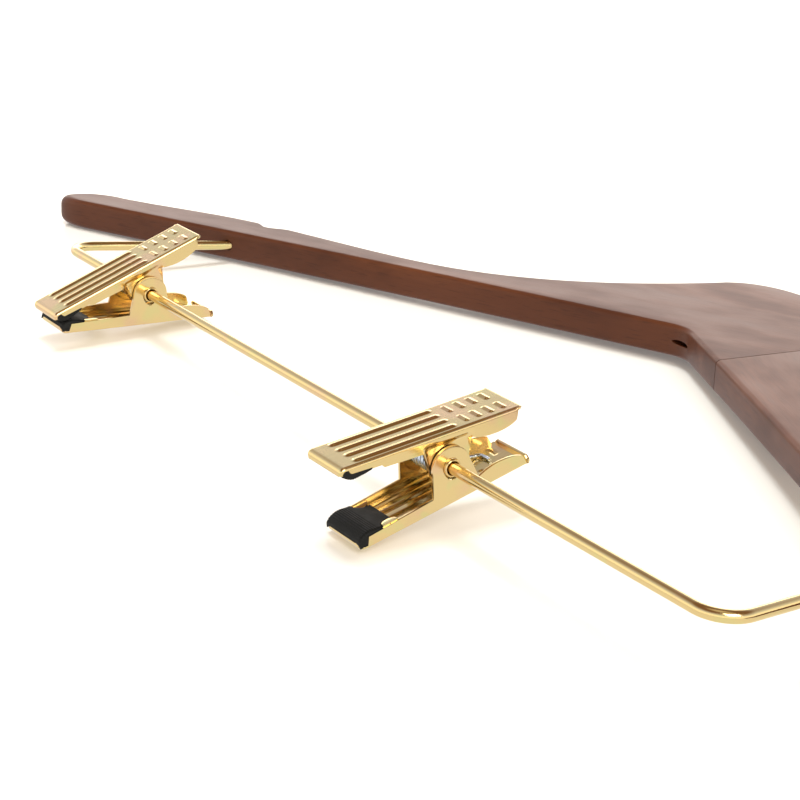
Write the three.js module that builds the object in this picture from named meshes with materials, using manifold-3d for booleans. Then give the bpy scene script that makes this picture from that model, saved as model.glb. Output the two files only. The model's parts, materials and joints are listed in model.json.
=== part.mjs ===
// Clip hanger: a wooden body with a turning wire hook, and a brass wire bar that carries two spring clips.
// Millimetres. +X runs along the bar, +Y towards the hook, +Z out of the front face of the wood.
// The origin is on the back face of the wood, on the axis of the hook.

import * as THREE from 'three';
import { mergeVertices } from 'three/addons/utils/BufferGeometryUtils.js';
import Module from 'manifold-3d';

const wasm = await Module();
wasm.setup();

const radians = THREE.MathUtils.degToRad;

// Clearances
const runningGap = 0.3;
const glueGap = 0.3;
const seatGap = 0.3;
const padGap = 0.3;

// Wooden body: plan outline and edges
const span = 445;
const woodThickness = 9.6;
const edgeRound = 1.5;
const armSlope = radians(24.5);
const apexDrop = 22;
const armBow = 1.5;
const apexFillet = 5;
const tipWidth = 15.5;
const tipRound = 15;
const tipTopDrop = 4;
const shoulderFromTip = 55;
const shoulderWidth = 18.5;
const waistFromCentre = 92;
const waistWidth = 11.5;
const headHeight = 34;
const headHalfWidth = 34;
const headFlat = 8;
const headShoulderDrop = 12;
const headShoulderLean = 5;
const headShoulderRise = 10;
const crownSoftness = 10;
const neckRunUp = 26;
const neckHollowOut = 12;
const neckHollowDrop = 38;
const strapNotchDepth = 2.6;
const strapNotchWidth = 13;

// Joint between the head and the right arm
const seamFromCentre = 28;
const seamLean = radians(9);
const tongueReach = 14;
const tongueWidth = 12;
const tongueThickness = 3.4;
const tongueAboveEdge = 13;

// Hook and its fastening
const hookWire = 3.6;
const hookLoopRadius = 22;
const hookNeckTurn = radians(70);
const hookSweep = radians(258);
const hookShankAboveHead = 12;
const hookBallRadius = 2.6;
const ferruleRadius = 4.2;
const ferruleCollar = 3.4;
const ferruleTop = 2.9;
const ferruleFlange = 1.2;
const ferruleHeight = 5;
const counterboreRadius = 3.6;
const counterboreDepth = 9;
const washerThickness = 0.8;
const nutFlats = 5.6;
const nutHeight = 3;
const threadBelowNut = 1;

// Wire bar
const barWire = 3;
const barHalfLength = 160;
const barBendRadius = 7.5;
const barBelowApex = 121.5;
const barLift = 3.4;
const legLean = radians(8.3);
const barSocketDepth = 11;

// Clip levers, in a frame whose plate is level and whose pivot is at the origin
const sheet = 0.75;
const clipWidth = 15.6;
const plateHeight = 9.5;
const noseLength = 28;
const noseOverhang = 1.5;
const tailLength = 21.5;
const noseHalfStack = 3.9;
const foldRadius = 1.1;
const noseLip = 2.2;
const tailLip = 1.3;
const noseWallDepth = 2.8;
const middleWallDepth = 3.6;
const earRadius = 5.3;
const earFoot = 6.6;
const earHeel = 6.5;
const tailWallDepth = 5;
const tailBulge = 12.7;
const tailFullness = 2;
const cornerRelief = 2.4;
const lugRadius = 2.1;
const lugFromPivot = 17;
const lugDepth = 2.6;

// Rubber pads
const padReach = 12.5;
const padLand = 7.2;
const padRoll = 1.1;
const padRampHollow = 2;
const padBackThickness = 0.6;

// Pivot eyelet and spring
const eyeletWall = 0.5;
const flangeRadius = 3.1;
const flangeThickness = 0.6;
const springWire = 1.1;
const springTurns = 7;
const springPitch = 1.25;
const springReach = 14.5;
const springFoot = 4.5;
const springBend = 1.5;

// Pose of the two clips: place along the bar, slope of the lower plate, opening of the jaws
const clips = [
  { side: 'left', along: -106.5, lowerTilt: radians(-1), opening: radians(0) },
  { side: 'right', along: 55, lowerTilt: radians(17), opening: radians(31) },
];

// Facets
const wireSides = 10;
const springSides = 6;
const legEntryRounds = 12;
const roundSides = 20;
const bendSteps = 8;
const coilSteps = 12;
const armStations = 32;
const underStations = 8;
const curveSteps = 9;
const tipSteps = 5;
const foldSteps = 3;
const padSteps = 4;
const neckSteps = 6;
const loopSteps = 28;

// Colours and finishes
const brass = { color: 0xd9b66a, roughness: 0.2, metalness: 1 };
const mahogany = { color: 0x57301f, roughness: 0.4, metalness: 0 };
const zinc = { color: 0xb9c2cc, roughness: 0.3, metalness: 1 };
const blackRubber = { color: 0x141414, roughness: 0.7, metalness: 0 };

// Worked-out sizes
const halfSpan = span / 2;
const apexY = -apexDrop;
const barY = apexY - barBelowApex;
const woodMiddle = woodThickness / 2;
const barZ = woodMiddle + barLift;
const hookRadius = hookWire / 2;
const barRadius = barWire / 2;
const closeAngle = Math.asin((plateHeight - noseHalfStack) / noseLength);
const halfClip = clipWidth / 2;
const upperNose = noseLength + noseOverhang;
const earStep = sheet + runningGap;
const eyeletBore = barRadius + runningGap;
const eyeletRadius = eyeletBore + eyeletWall;
const earHole = eyeletRadius + runningGap;
const springRadius = eyeletRadius + runningGap + springWire / 2;

// Height of the lower edge of an arm, bowed a little upwards, at a distance from the centre line.
function lowerEdge(x) {
  const out = Math.abs(x);
  return apexY - out * Math.tan(armSlope) + armBow * Math.sin((Math.PI * out) / halfSpan);
}

// Where a leaning leg of the bar meets the lower edge of its arm.
function legEntryX() {
  let x = barHalfLength;
  for (let round = 0; round < legEntryRounds; round += 1) {
    x = barHalfLength - (lowerEdge(x) - barY) * Math.tan(legLean);
  }
  return x;
}

const legEntry = legEntryX();

// A closed geometry as a solid for joining and cutting.
function toSolid(geometry) {
  const bare = geometry.clone();
  bare.deleteAttribute('normal');
  bare.deleteAttribute('uv');
  const merged = mergeVertices(bare, 1e-5);
  const vertProperties = new Float32Array(merged.attributes.position.array);
  const triVerts = new Uint32Array(merged.index.array);
  return new wasm.Manifold(new wasm.Mesh({ numProp: 3, vertProperties, triVerts }));
}

// A joined or cut solid as a geometry.
function toGeometry(solid) {
  const mesh = solid.getMesh();
  const geometry = new THREE.BufferGeometry();
  geometry.setAttribute('position', new THREE.BufferAttribute(mesh.vertProperties, 3));
  geometry.setIndex(new THREE.BufferAttribute(mesh.triVerts, 1));
  geometry.computeVertexNormals();
  return geometry;
}

function namedMesh(name, geometry, finish) {
  const mesh = new THREE.Mesh(geometry, new THREE.MeshStandardMaterial(finish));
  mesh.name = name;
  return mesh;
}

function box(x0, x1, y0, y1, z0, z1) {
  const geometry = new THREE.BoxGeometry(x1 - x0, y1 - y0, z1 - z0);
  return geometry.translate((x0 + x1) / 2, (y0 + y1) / 2, (z0 + z1) / 2);
}

// A round bar along X, centred on the X axis.
function pinAlongX(radius, length) {
  return new THREE.CylinderGeometry(radius, radius, length, roundSides).rotateZ(Math.PI / 2);
}

// An outline in the YZ plane, extruded along X from x0 to x1.
function extrudeAlongX(points, x0, x1) {
  const shape = new THREE.Shape(points);
  const geometry = new THREE.ExtrudeGeometry(shape, { depth: x1 - x0, bevelEnabled: false });
  const axes = new THREE.Matrix4();
  axes.makeBasis(new THREE.Vector3(0, 1, 0), new THREE.Vector3(0, 0, 1), new THREE.Vector3(1, 0, 0));
  return geometry.applyMatrix4(axes).translate(x0, 0, 0);
}

// A wire's centre line through chosen stations: long steps on straights, short ones round bends.
class WirePath extends THREE.Curve {
  constructor(stations) {
    super();
    this.stations = stations;
  }

  index(u) {
    return Math.round(u * (this.stations.length - 1));
  }

  getPoint(u) {
    return this.stations[this.index(u)].clone();
  }

  getPointAt(u) {
    return this.getPoint(u);
  }

  getTangentAt(u) {
    const here = this.index(u);
    const before = this.stations[Math.max(here - 1, 0)];
    const after = this.stations[Math.min(here + 1, this.stations.length - 1)];
    return after.clone().sub(before).normalize();
  }
}

function wire(stations, radius, sides) {
  const section = new THREE.Shape();
  for (let side = 0; side < sides; side += 1) {
    const turn = (2 * Math.PI * side) / sides;
    const method = side === 0 ? 'moveTo' : 'lineTo';
    section[method](radius * Math.cos(turn), radius * Math.sin(turn));
  }
  section.closePath();
  const extrudePath = new WirePath(stations);
  return new THREE.ExtrudeGeometry(section, { steps: stations.length - 1, extrudePath, bevelEnabled: false });
}

// A flat route of straights and round bends, started at a point with a heading in radians from +X.
class FlatRoute {
  constructor(x, y, heading) {
    this.here = new THREE.Vector2(x, y);
    this.heading = heading;
    this.points = [this.here.clone()];
  }

  forward(length) {
    this.here.x += length * Math.cos(this.heading);
    this.here.y += length * Math.sin(this.heading);
    this.points.push(this.here.clone());
    return this;
  }

  turn(radius, angle, steps) {
    const chord = 2 * radius * Math.sin(Math.abs(angle) / steps / 2);
    for (let step = 0; step < steps; step += 1) {
      this.heading += angle / steps / 2;
      this.forward(chord);
      this.heading += angle / steps / 2;
    }
    return this;
  }
}

// Wooden body

// The upper edge of the right arm, from the tip to the head's flat top.
function upperEdgePoints() {
  const start = halfSpan - tipRound;
  const shoulderX = halfSpan - shoulderFromTip;
  const points = [];
  for (let station = 0; station <= armStations; station += 1) {
    const x = THREE.MathUtils.lerp(start, waistFromCentre, station / armStations);
    const outside = THREE.MathUtils.smoothstep(x, shoulderX, start);
    const inside = THREE.MathUtils.smoothstep(x, waistFromCentre, shoulderX);
    const width = x > shoulderX
      ? THREE.MathUtils.lerp(shoulderWidth, tipWidth, outside)
      : THREE.MathUtils.lerp(waistWidth, shoulderWidth, inside);
    const across = Math.min(Math.abs(x - legEntry) / (strapNotchWidth / 2), 1);
    const notch = strapNotchDepth * Math.cos((across * Math.PI) / 2) ** 2;
    points.push(new THREE.Vector2(x, lowerEdge(x) + width - notch));
  }
  const waist = points[points.length - 1];
  const shoulder = new THREE.Vector2(headHalfWidth, headHeight - headShoulderDrop);
  const neck = new THREE.CubicBezierCurve(
    waist,
    new THREE.Vector2(waist.x - neckRunUp, waist.y + neckRunUp * Math.tan(armSlope)),
    new THREE.Vector2(shoulder.x + neckHollowOut, shoulder.y - neckHollowDrop),
    shoulder,
  );
  const crown = new THREE.CubicBezierCurve(
    shoulder,
    new THREE.Vector2(shoulder.x - headShoulderLean, shoulder.y + headShoulderRise),
    new THREE.Vector2(headFlat + crownSoftness, headHeight),
    new THREE.Vector2(headFlat, headHeight),
  );
  return [...points, ...neck.getPoints(curveSteps).slice(1), ...crown.getPoints(curveSteps).slice(1)];
}

// The right half of the plan outline, from the inner corner round the tip to the head's flat top.
function rightOutline() {
  const tipLow = new THREE.Vector2(halfSpan - tipRound, lowerEdge(halfSpan - tipRound));
  const tipHigh = new THREE.Vector2(tipLow.x, tipLow.y + tipWidth);
  const tipEnd = new THREE.Vector2(halfSpan, (tipLow.y + tipHigh.y) / 2 - tipRound * Math.tan(armSlope));
  const underCorner = new THREE.Vector2(halfSpan, lowerEdge(halfSpan));
  const overCorner = new THREE.Vector2(halfSpan, tipHigh.y - tipTopDrop);
  const underTip = new THREE.QuadraticBezierCurve(tipLow, underCorner, tipEnd);
  const overTip = new THREE.QuadraticBezierCurve(tipEnd, overCorner, tipHigh);
  const under = [];
  for (let station = 0; station < underStations; station += 1) {
    const x = THREE.MathUtils.lerp(apexFillet, tipLow.x, station / underStations);
    under.push(new THREE.Vector2(x, lowerEdge(x)));
  }
  const tip = [...underTip.getPoints(tipSteps), ...overTip.getPoints(tipSteps).slice(1)];
  return [...under, ...tip, ...upperEdgePoints().slice(1)];
}

function woodBlank() {
  const right = rightOutline();
  const left = right.map((point) => new THREE.Vector2(-point.x, point.y)).reverse();
  const apex = new THREE.Vector2(0, apexY);
  const innerCorner = new THREE.QuadraticBezierCurve(left[left.length - 1], apex, right[0]);
  const outline = [...right, ...left, ...innerCorner.getPoints(tipSteps).slice(1, -1)];
  const geometry = new THREE.ExtrudeGeometry(new THREE.Shape(outline), {
    depth: woodThickness - 2 * edgeRound,
    bevelThickness: edgeRound,
    bevelSize: edgeRound,
    bevelOffset: -edgeRound,
    bevelSegments: 2,
  });
  return geometry.translate(0, 0, edgeRound);
}

// A block set square to the seam: across the seam, up it from the lower edge, and through Z.
function seamBlock(across0, across1, up0, up1, z0, z1) {
  const geometry = box(across0, across1, up0, up1, z0, z1);
  return geometry.rotateZ(-seamLean).translate(seamFromCentre, lowerEdge(seamFromCentre), 0);
}

function tongueBlock(clearance) {
  const long = tongueReach + clearance;
  const wide = tongueWidth / 2 + clearance;
  const thick = tongueThickness / 2 + clearance;
  const low = tongueAboveEdge - wide;
  return seamBlock(-long, long, low, low + 2 * wide, woodMiddle - thick, woodMiddle + thick);
}

function woodPieces() {
  const beyond = span;
  const shankHole = hookRadius + runningGap;
  const shank = new THREE.CylinderGeometry(shankHole, shankHole, span, roundSides);
  const counterbore = new THREE.CylinderGeometry(counterboreRadius, counterboreRadius, span, roundSides);
  const counterboreTop = apexY + counterboreDepth;
  const blank = toSolid(woodBlank())
    .subtract(toSolid(shank.translate(0, 0, woodMiddle)))
    .subtract(toSolid(counterbore.translate(0, counterboreTop - span / 2, woodMiddle)))
    .subtract(toSolid(barSocket(1)))
    .subtract(toSolid(barSocket(-1)))
    .subtract(toSolid(tongueBlock(glueGap)));
  const pastSeam = seamBlock(-glueGap / 2, beyond, -beyond, beyond, -beyond, beyond);
  const rightOfSeam = seamBlock(glueGap / 2, beyond, -beyond, beyond, -beyond, beyond);
  return [
    namedMesh('arm_left', toGeometry(blank.subtract(toSolid(pastSeam))), mahogany),
    namedMesh('arm_right', toGeometry(blank.intersect(toSolid(rightOfSeam))), mahogany),
    namedMesh('joint_tongue', tongueBlock(0), mahogany),
  ];
}

// Wire bar: a U in a plane that leans out of the wood by the bar's lift

const legRun = lowerEdge(legEntry) - barY;
const barLean = Math.atan2(barLift, legRun);
const legRise = Math.hypot(legRun, barLift);
const legSplay = Math.atan2(barHalfLength - legEntry, legRise);
const legLength = Math.hypot(barHalfLength - legEntry, legRise);

// A point of the bar's plane: x along the bar, q from the bar towards the wood.
function barPoint(x, q) {
  return new THREE.Vector3(x, barY + q * Math.cos(barLean), barZ - q * Math.sin(barLean));
}

// A point of a leg at a distance from the bar's corner.
function legPoint(sign, distance) {
  return barPoint(sign * (barHalfLength - distance * Math.sin(legSplay)), distance * Math.cos(legSplay));
}

function barSocket(sign) {
  const start = legPoint(sign, legLength - barSocketDepth);
  const end = legPoint(sign, legLength + barSocketDepth + seatGap);
  return wire([start, end], barRadius + runningGap, wireSides);
}

function clipBar() {
  const bend = Math.PI / 2 + legSplay;
  const bendRun = barBendRadius * Math.tan(bend / 2);
  const straight = 2 * (barHalfLength - bendRun);
  const leg = legLength + barSocketDepth;
  const startX = leg * Math.sin(legSplay) - barHalfLength;
  const route = new FlatRoute(startX, leg * Math.cos(legSplay), -bend);
  route.forward(leg - bendRun).turn(barBendRadius, bend, bendSteps);
  route.forward(straight).turn(barBendRadius, bend, bendSteps).forward(leg - bendRun);
  const stations = route.points.map((point) => barPoint(point.x, point.y));
  return namedMesh('clip_bar', wire(stations, barRadius, wireSides), brass);
}

// Hook and its fastening

// The neck bends aside so that the loop's centre comes back over the shank.
const neckRadius = (hookLoopRadius * Math.cos(hookNeckTurn)) / (1 - Math.cos(hookNeckTurn));
const washerTop = apexY + counterboreDepth - seatGap;
const nutTop = washerTop - washerThickness - seatGap;
const shankEnd = nutTop - nutHeight - threadBelowNut;

function hookWithBall() {
  const route = new FlatRoute(0, shankEnd, Math.PI / 2);
  route.forward(headHeight + hookShankAboveHead - shankEnd);
  route.turn(neckRadius, -hookNeckTurn, neckSteps);
  route.turn(hookLoopRadius, hookSweep, loopSteps);
  const stations = route.points.map((point) => new THREE.Vector3(point.x, point.y, woodMiddle));
  const tip = stations[stations.length - 1];
  const ball = new THREE.SphereGeometry(hookBallRadius, wireSides, wireSides).translate(tip.x, tip.y, tip.z);
  const solid = toSolid(wire(stations, hookRadius, wireSides)).add(toSolid(ball));
  return namedMesh('hook', toGeometry(solid), brass);
}

// A ring round the hook's axis from a closed profile of [radius, height] pairs.
function ringOnHook(profile, baseY) {
  const points = profile.map(([radius, height]) => new THREE.Vector2(radius, height));
  points.push(points[0].clone());
  return new THREE.LatheGeometry(points, roundSides).translate(0, baseY, woodMiddle);
}

function hookFastening() {
  const bore = hookRadius + runningGap;
  const ferrule = ringOnHook([
    [bore, 0],
    [ferruleRadius, 0],
    [ferruleRadius, ferruleFlange],
    [ferruleCollar, ferruleFlange],
    [ferruleTop, ferruleHeight],
    [bore, ferruleHeight],
  ], headHeight + seatGap);
  const washerRadius = counterboreRadius - seatGap;
  const washer = ringOnHook([
    [bore, 0],
    [washerRadius, 0],
    [washerRadius, washerThickness],
    [bore, washerThickness],
  ], washerTop - washerThickness);
  const nutCorner = nutFlats / Math.sqrt(3);
  const hexagon = new THREE.CylinderGeometry(nutCorner, nutCorner, nutHeight, 6);
  const nutHole = new THREE.CylinderGeometry(bore, bore, 2 * nutHeight, roundSides);
  const nut = toGeometry(toSolid(hexagon).subtract(toSolid(nutHole)));
  nut.translate(0, nutTop - nutHeight / 2, woodMiddle);
  return [
    namedMesh('hook_ferrule', ferrule, brass),
    namedMesh('hook_washer', washer, brass),
    namedMesh('hook_nut', nut, brass),
  ];
}

// Clip levers: up is +1 for the upper lever, whose plate is above the pivot, and -1 for the lower one

// Free edge of a side wall: straight beside the nose and the pivot, then the boat-shaped tail.
function wallOutline(nose) {
  const top = plateHeight;
  const outline = new THREE.Path();
  outline.moveTo(cornerRelief - nose, top);
  outline.lineTo(cornerRelief - nose, top - noseWallDepth);
  outline.lineTo(-earFoot, top - middleWallDepth);
  outline.lineTo(earHeel, top - middleWallDepth);
  outline.quadraticCurveTo(earHeel + tailFullness, top - tailWallDepth, tailBulge, top - tailWallDepth);
  outline.quadraticCurveTo(tailLength - tailFullness, top - tailWallDepth, tailLength, top - tailLip);
  outline.lineTo(tailLength, top);
  return outline.getPoints(curveSteps);
}

// An ear: from the plate down to a round end about the pivot.
function earOutline() {
  const top = plateHeight;
  const outline = new THREE.Path();
  outline.moveTo(-earFoot, top);
  outline.lineTo(-earFoot, top - middleWallDepth);
  outline.absarc(0, 0, earRadius, Math.PI, 2 * Math.PI, false);
  outline.lineTo(earHeel, top - middleWallDepth);
  outline.lineTo(earHeel, top);
  return outline.getPoints(curveSteps);
}

// The plate with its turned-in nose and tail lips.
function plateOutline(nose) {
  const top = plateHeight;
  const outline = new THREE.Path();
  outline.moveTo(tailLength, top - tailLip);
  outline.lineTo(tailLength, top - foldRadius);
  outline.absarc(tailLength - foldRadius, top - foldRadius, foldRadius, 0, Math.PI / 2, false);
  outline.absarc(foldRadius - nose, top - foldRadius, foldRadius, Math.PI / 2, Math.PI, false);
  outline.lineTo(-nose, top - noseLip);
  outline.lineTo(sheet - nose, top - noseLip);
  outline.absarc(foldRadius - nose, top - foldRadius, foldRadius - sheet, Math.PI, Math.PI / 2, true);
  outline.absarc(tailLength - foldRadius, top - foldRadius, foldRadius - sheet, Math.PI / 2, 0, true);
  outline.lineTo(tailLength - sheet, top - tailLip);
  return outline.getPoints(foldSteps);
}

function flipped(points, up) {
  return points.map((point) => new THREE.Vector2(point.x, up * point.y));
}

// A slab between two distances from the middle of the clip, on the side given by sign.
function slab(points, sign, near, far) {
  const x = [sign * near, sign * far].sort((a, b) => a - b);
  return toSolid(extrudeAlongX(points, ...x));
}

// A block on one side of the clip: distances from the middle, then Y, then heights from pivot to plate.
function sideBlock(sign, near, far, y0, y1, up, low, high) {
  const x = [sign * near, sign * far].sort((a, b) => a - b);
  const z = [up * low, up * high].sort((a, b) => a - b);
  return toSolid(box(...x, y0, y1, ...z));
}

// A half-round lug folded in from the free edge of a side wall, over the back of the pad.
function lug(sign, up) {
  const disc = new THREE.CylinderGeometry(lugRadius, lugRadius, sheet, roundSides).rotateX(Math.PI / 2);
  const seat = halfClip - sheet / 2;
  const half = toSolid(disc.translate(sign * seat, -lugFromPivot, up * (plateHeight - lugDepth)));
  return half.intersect(sideBlock(sign, 0, seat, -noseLength, 0, up, 0, plateHeight));
}

// The ears of a lever stand inwards from its side walls by the step.
function lever(up, nose, step) {
  const walls = flipped(wallOutline(nose), up);
  const ears = flipped(earOutline(), up);
  const earOut = halfClip - step;
  const earIn = earOut - sheet;
  const wallTop = plateHeight - middleWallDepth;
  let solid = toSolid(extrudeAlongX(flipped(plateOutline(nose), up), -halfClip, halfClip));
  for (const sign of [-1, 1]) {
    solid = solid
      .add(slab(walls, sign, halfClip - sheet, halfClip))
      .add(slab(ears, sign, earIn, earOut))
      .add(sideBlock(sign, earIn, halfClip, -earFoot, earHeel, up, wallTop, plateHeight))
      .add(lug(sign, up));
  }
  for (const sign of [-1, 1]) {
    const edge = halfClip - cornerRelief;
    const under = plateHeight - sheet;
    const back = cornerRelief - nose;
    solid = solid.subtract(sideBlock(sign, edge, clipWidth, -clipWidth - nose, back, up, 0, under));
  }
  return solid.subtract(toSolid(pinAlongX(earHole, 2 * clipWidth)));
}

// Rubber pads

// Height over the pivot of the plane where the closed pads meet, in the lever's own frame.
function closingHeight(y) {
  return (padGap / 2 - y * Math.sin(closeAngle)) / Math.cos(closeAngle);
}

// Side outline: flat against the plate, rolled at the nose, a level land, and a hollow ramp to the back.
function padOutline(nose) {
  const seat = plateHeight - sheet - seatGap;
  const front = sheet + seatGap - nose;
  const back = front + padReach;
  const landFront = front + padRoll;
  const landBack = front + padLand;
  const outline = new THREE.Path();
  outline.moveTo(back, seat);
  outline.lineTo(front, seat);
  outline.lineTo(front, closingHeight(landFront) + padRoll);
  outline.quadraticCurveTo(front, closingHeight(landFront), landFront, closingHeight(landFront));
  outline.lineTo(landBack, closingHeight(landBack));
  outline.quadraticCurveTo(landBack + padRampHollow, seat - padBackThickness, back, seat - padBackThickness);
  return outline.getPoints(padSteps);
}

function pad(up, nose) {
  const half = halfClip - sheet - seatGap;
  const seat = plateHeight - sheet - seatGap;
  const postEdge = halfClip - cornerRelief + seatGap;
  const postFront = seatGap - nose;
  const postBack = cornerRelief - seatGap - nose;
  const postCrest = closingHeight(cornerRelief - nose) + padRoll / 2;
  const notchRadius = lugRadius + seatGap;
  let solid = toSolid(extrudeAlongX(flipped(padOutline(nose), up), -half, half));
  for (const sign of [-1, 1]) {
    const notch = new THREE.CylinderGeometry(notchRadius, notchRadius, 4 * plateHeight, roundSides);
    notch.rotateX(Math.PI / 2).translate(sign * (halfClip - sheet / 2), -lugFromPivot, 0);
    solid = solid
      .add(sideBlock(sign, postEdge, halfClip, postFront, postBack, up, postCrest, seat))
      .subtract(toSolid(notch));
  }
  return solid;
}

// Pivot eyelet: a tube on the bar with a flange outside each lower ear

function eyelet() {
  const seat = halfClip + seatGap;
  const end = seat + flangeThickness;
  const profile = [
    [eyeletBore, -end],
    [flangeRadius, -end],
    [flangeRadius, -seat],
    [eyeletRadius, -seat],
    [eyeletRadius, seat],
    [flangeRadius, seat],
    [flangeRadius, end],
    [eyeletBore, end],
    [eyeletBore, -end],
  ];
  const points = profile.map(([radius, height]) => new THREE.Vector2(radius, height));
  return new THREE.LatheGeometry(points, roundSides).rotateZ(Math.PI / 2);
}

// Torsion spring: a close coil round the eyelet with a leg under each thumb plate

// One leg, from its crosswise foot to the coil, in the frame of the lever that it presses on.
function springLeg(x, up) {
  const lift = plateHeight - sheet - seatGap - springWire / 2;
  const inwards = -Math.sign(x);
  const stations = [new THREE.Vector3(x + inwards * springFoot, springReach, up * lift)];
  for (let step = 0; step <= 3; step += 1) {
    const turn = ((Math.PI / 2) * step) / 3;
    const across = x + inwards * springBend * (1 - Math.sin(turn));
    const along = springReach - springBend * (1 - Math.cos(turn));
    stations.push(new THREE.Vector3(across, along, up * lift));
  }
  return stations;
}

// The angle at which a straight leg leaves the coil, seen along X.
function legAngle() {
  const lift = plateHeight - sheet - seatGap - springWire / 2;
  const far = springReach - springBend;
  return Math.atan2(lift, far) + Math.acos(springRadius / Math.hypot(lift, far));
}

function spring(lowerTilt, upperTilt) {
  const halfCoil = (springTurns * springPitch) / 2;
  const pivot = new THREE.Vector3(1, 0, 0);
  const lowerLeg = springLeg(-halfCoil, -1).map((point) => point.applyAxisAngle(pivot, lowerTilt));
  const upperLeg = springLeg(halfCoil, 1).map((point) => point.applyAxisAngle(pivot, upperTilt));
  const startAngle = lowerTilt - legAngle();
  const endAngle = upperTilt + legAngle() - 2 * Math.PI * springTurns;
  const steps = springTurns * coilSteps;
  const coil = [];
  for (let step = 0; step <= steps; step += 1) {
    const part = step / steps;
    const angle = THREE.MathUtils.lerp(startAngle, endAngle, part);
    const x = THREE.MathUtils.lerp(-halfCoil, halfCoil, part);
    coil.push(new THREE.Vector3(x, springRadius * Math.cos(angle), springRadius * Math.sin(angle)));
  }
  return wire([...lowerLeg, ...coil, ...upperLeg.reverse()], springWire / 2, springSides);
}

function clip({ side, along, lowerTilt, opening }) {
  const upperTilt = lowerTilt + 2 * closeAngle - opening;
  const group = new THREE.Group();
  group.position.set(along, barY, barZ);
  const lower = new THREE.Group();
  lower.rotation.x = lowerTilt;
  lower.add(namedMesh(`${side}_lower_lever`, toGeometry(lever(-1, noseLength, 0)), brass));
  lower.add(namedMesh(`${side}_lower_pad`, toGeometry(pad(-1, noseLength)), blackRubber));
  const upper = new THREE.Group();
  upper.rotation.x = upperTilt;
  upper.add(namedMesh(`${side}_upper_lever`, toGeometry(lever(1, upperNose, earStep)), brass));
  upper.add(namedMesh(`${side}_upper_pad`, toGeometry(pad(1, upperNose)), blackRubber));
  group.add(lower, upper);
  group.add(namedMesh(`${side}_spring`, spring(lowerTilt, upperTilt), zinc));
  group.add(namedMesh(`${side}_pivot_eyelet`, eyelet(), brass));
  return group;
}

const hanger = new THREE.Group();
hanger.add(...woodPieces(), clipBar(), hookWithBall(), ...hookFastening());
hanger.add(...clips.map(clip));

export default hanger;
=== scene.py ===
"""Clip hanger: the looks of its wood, hook, wire bar and spring clips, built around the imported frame."""

import json
import math

import bmesh
import bpy
import numpy as np
from mathutils import Matrix, Vector


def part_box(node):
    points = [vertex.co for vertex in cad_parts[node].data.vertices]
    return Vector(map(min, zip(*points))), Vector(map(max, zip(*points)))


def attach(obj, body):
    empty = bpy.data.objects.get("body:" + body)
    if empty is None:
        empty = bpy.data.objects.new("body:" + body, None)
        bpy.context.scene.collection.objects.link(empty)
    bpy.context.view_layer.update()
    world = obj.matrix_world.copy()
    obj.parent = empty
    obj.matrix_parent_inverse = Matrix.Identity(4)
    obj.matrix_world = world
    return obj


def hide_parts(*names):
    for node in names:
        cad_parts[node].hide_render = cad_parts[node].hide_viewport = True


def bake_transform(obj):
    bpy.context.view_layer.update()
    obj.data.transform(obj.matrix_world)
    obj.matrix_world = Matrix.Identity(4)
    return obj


bl_info = {
    "name": "Clip hanger",
    "version": (1, 0, 0),
    "blender": (4, 5, 0),
    "location": "View3D > Sidebar > Hanger",
    "description": "Builds a wooden clip hanger with a turning hook, a brass wire bar and two spring clips",
    "category": "Object",
}

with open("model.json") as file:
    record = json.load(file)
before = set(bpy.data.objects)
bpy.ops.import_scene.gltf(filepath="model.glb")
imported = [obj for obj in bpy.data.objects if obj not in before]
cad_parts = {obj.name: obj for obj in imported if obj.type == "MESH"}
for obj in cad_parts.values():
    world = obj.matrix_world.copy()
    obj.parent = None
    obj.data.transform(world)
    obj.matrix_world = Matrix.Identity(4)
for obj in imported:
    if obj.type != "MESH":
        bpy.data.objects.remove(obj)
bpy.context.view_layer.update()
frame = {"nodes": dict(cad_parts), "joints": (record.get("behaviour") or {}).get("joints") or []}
joints = {joint["name"]: joint for joint in frame["joints"]}

MM = 0.001
SIDES = ("left", "right")
UPPER, LOWER = 1, -1
LEVERS = [(side, up, word) for side in SIDES for up, word in ((UPPER, "upper"), (LOWER, "lower"))]

# Plays between pieces

LEG_PLAY = 0.2 * MM
LEG_END_PLAY = 0.3 * MM
SHANK_PLAY = 0.3 * MM
SPRING_PLAY = 0.1 * MM
EYELET_PLAY = 0.1 * MM

# Fineness of the meshes

SAME_POINT = 2e-6
SHORT_EDGE = 1e-6
FINE_ROUND = 48
ROUND = 32
BAR_ROUND = 28
HOOK_ROUND = 24
SPRING_ROUND = 14
ARM_STATIONS = 260
HEAD_STATIONS = 240


# Kinds of settings


def length(name, millimetres, description):
    """A length setting whose default is given in millimetres."""
    return bpy.props.FloatProperty(
        name=name, description=description, default=millimetres * MM, unit="LENGTH", precision=5
    )


def turn(name, degrees, description):
    """An angle setting whose default is given in degrees."""
    return bpy.props.FloatProperty(
        name=name, description=description, default=math.radians(degrees), subtype="ANGLE"
    )


def number(name, value, description):
    """A plain number setting."""
    return bpy.props.FloatProperty(name=name, description=description, default=value)


def colour(name, red, green, blue, description):
    """A linear colour setting."""
    default = (red, green, blue)
    return bpy.props.FloatVectorProperty(
        name=name, description=description, default=default, size=3, min=0, max=1, subtype="COLOR"
    )


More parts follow.
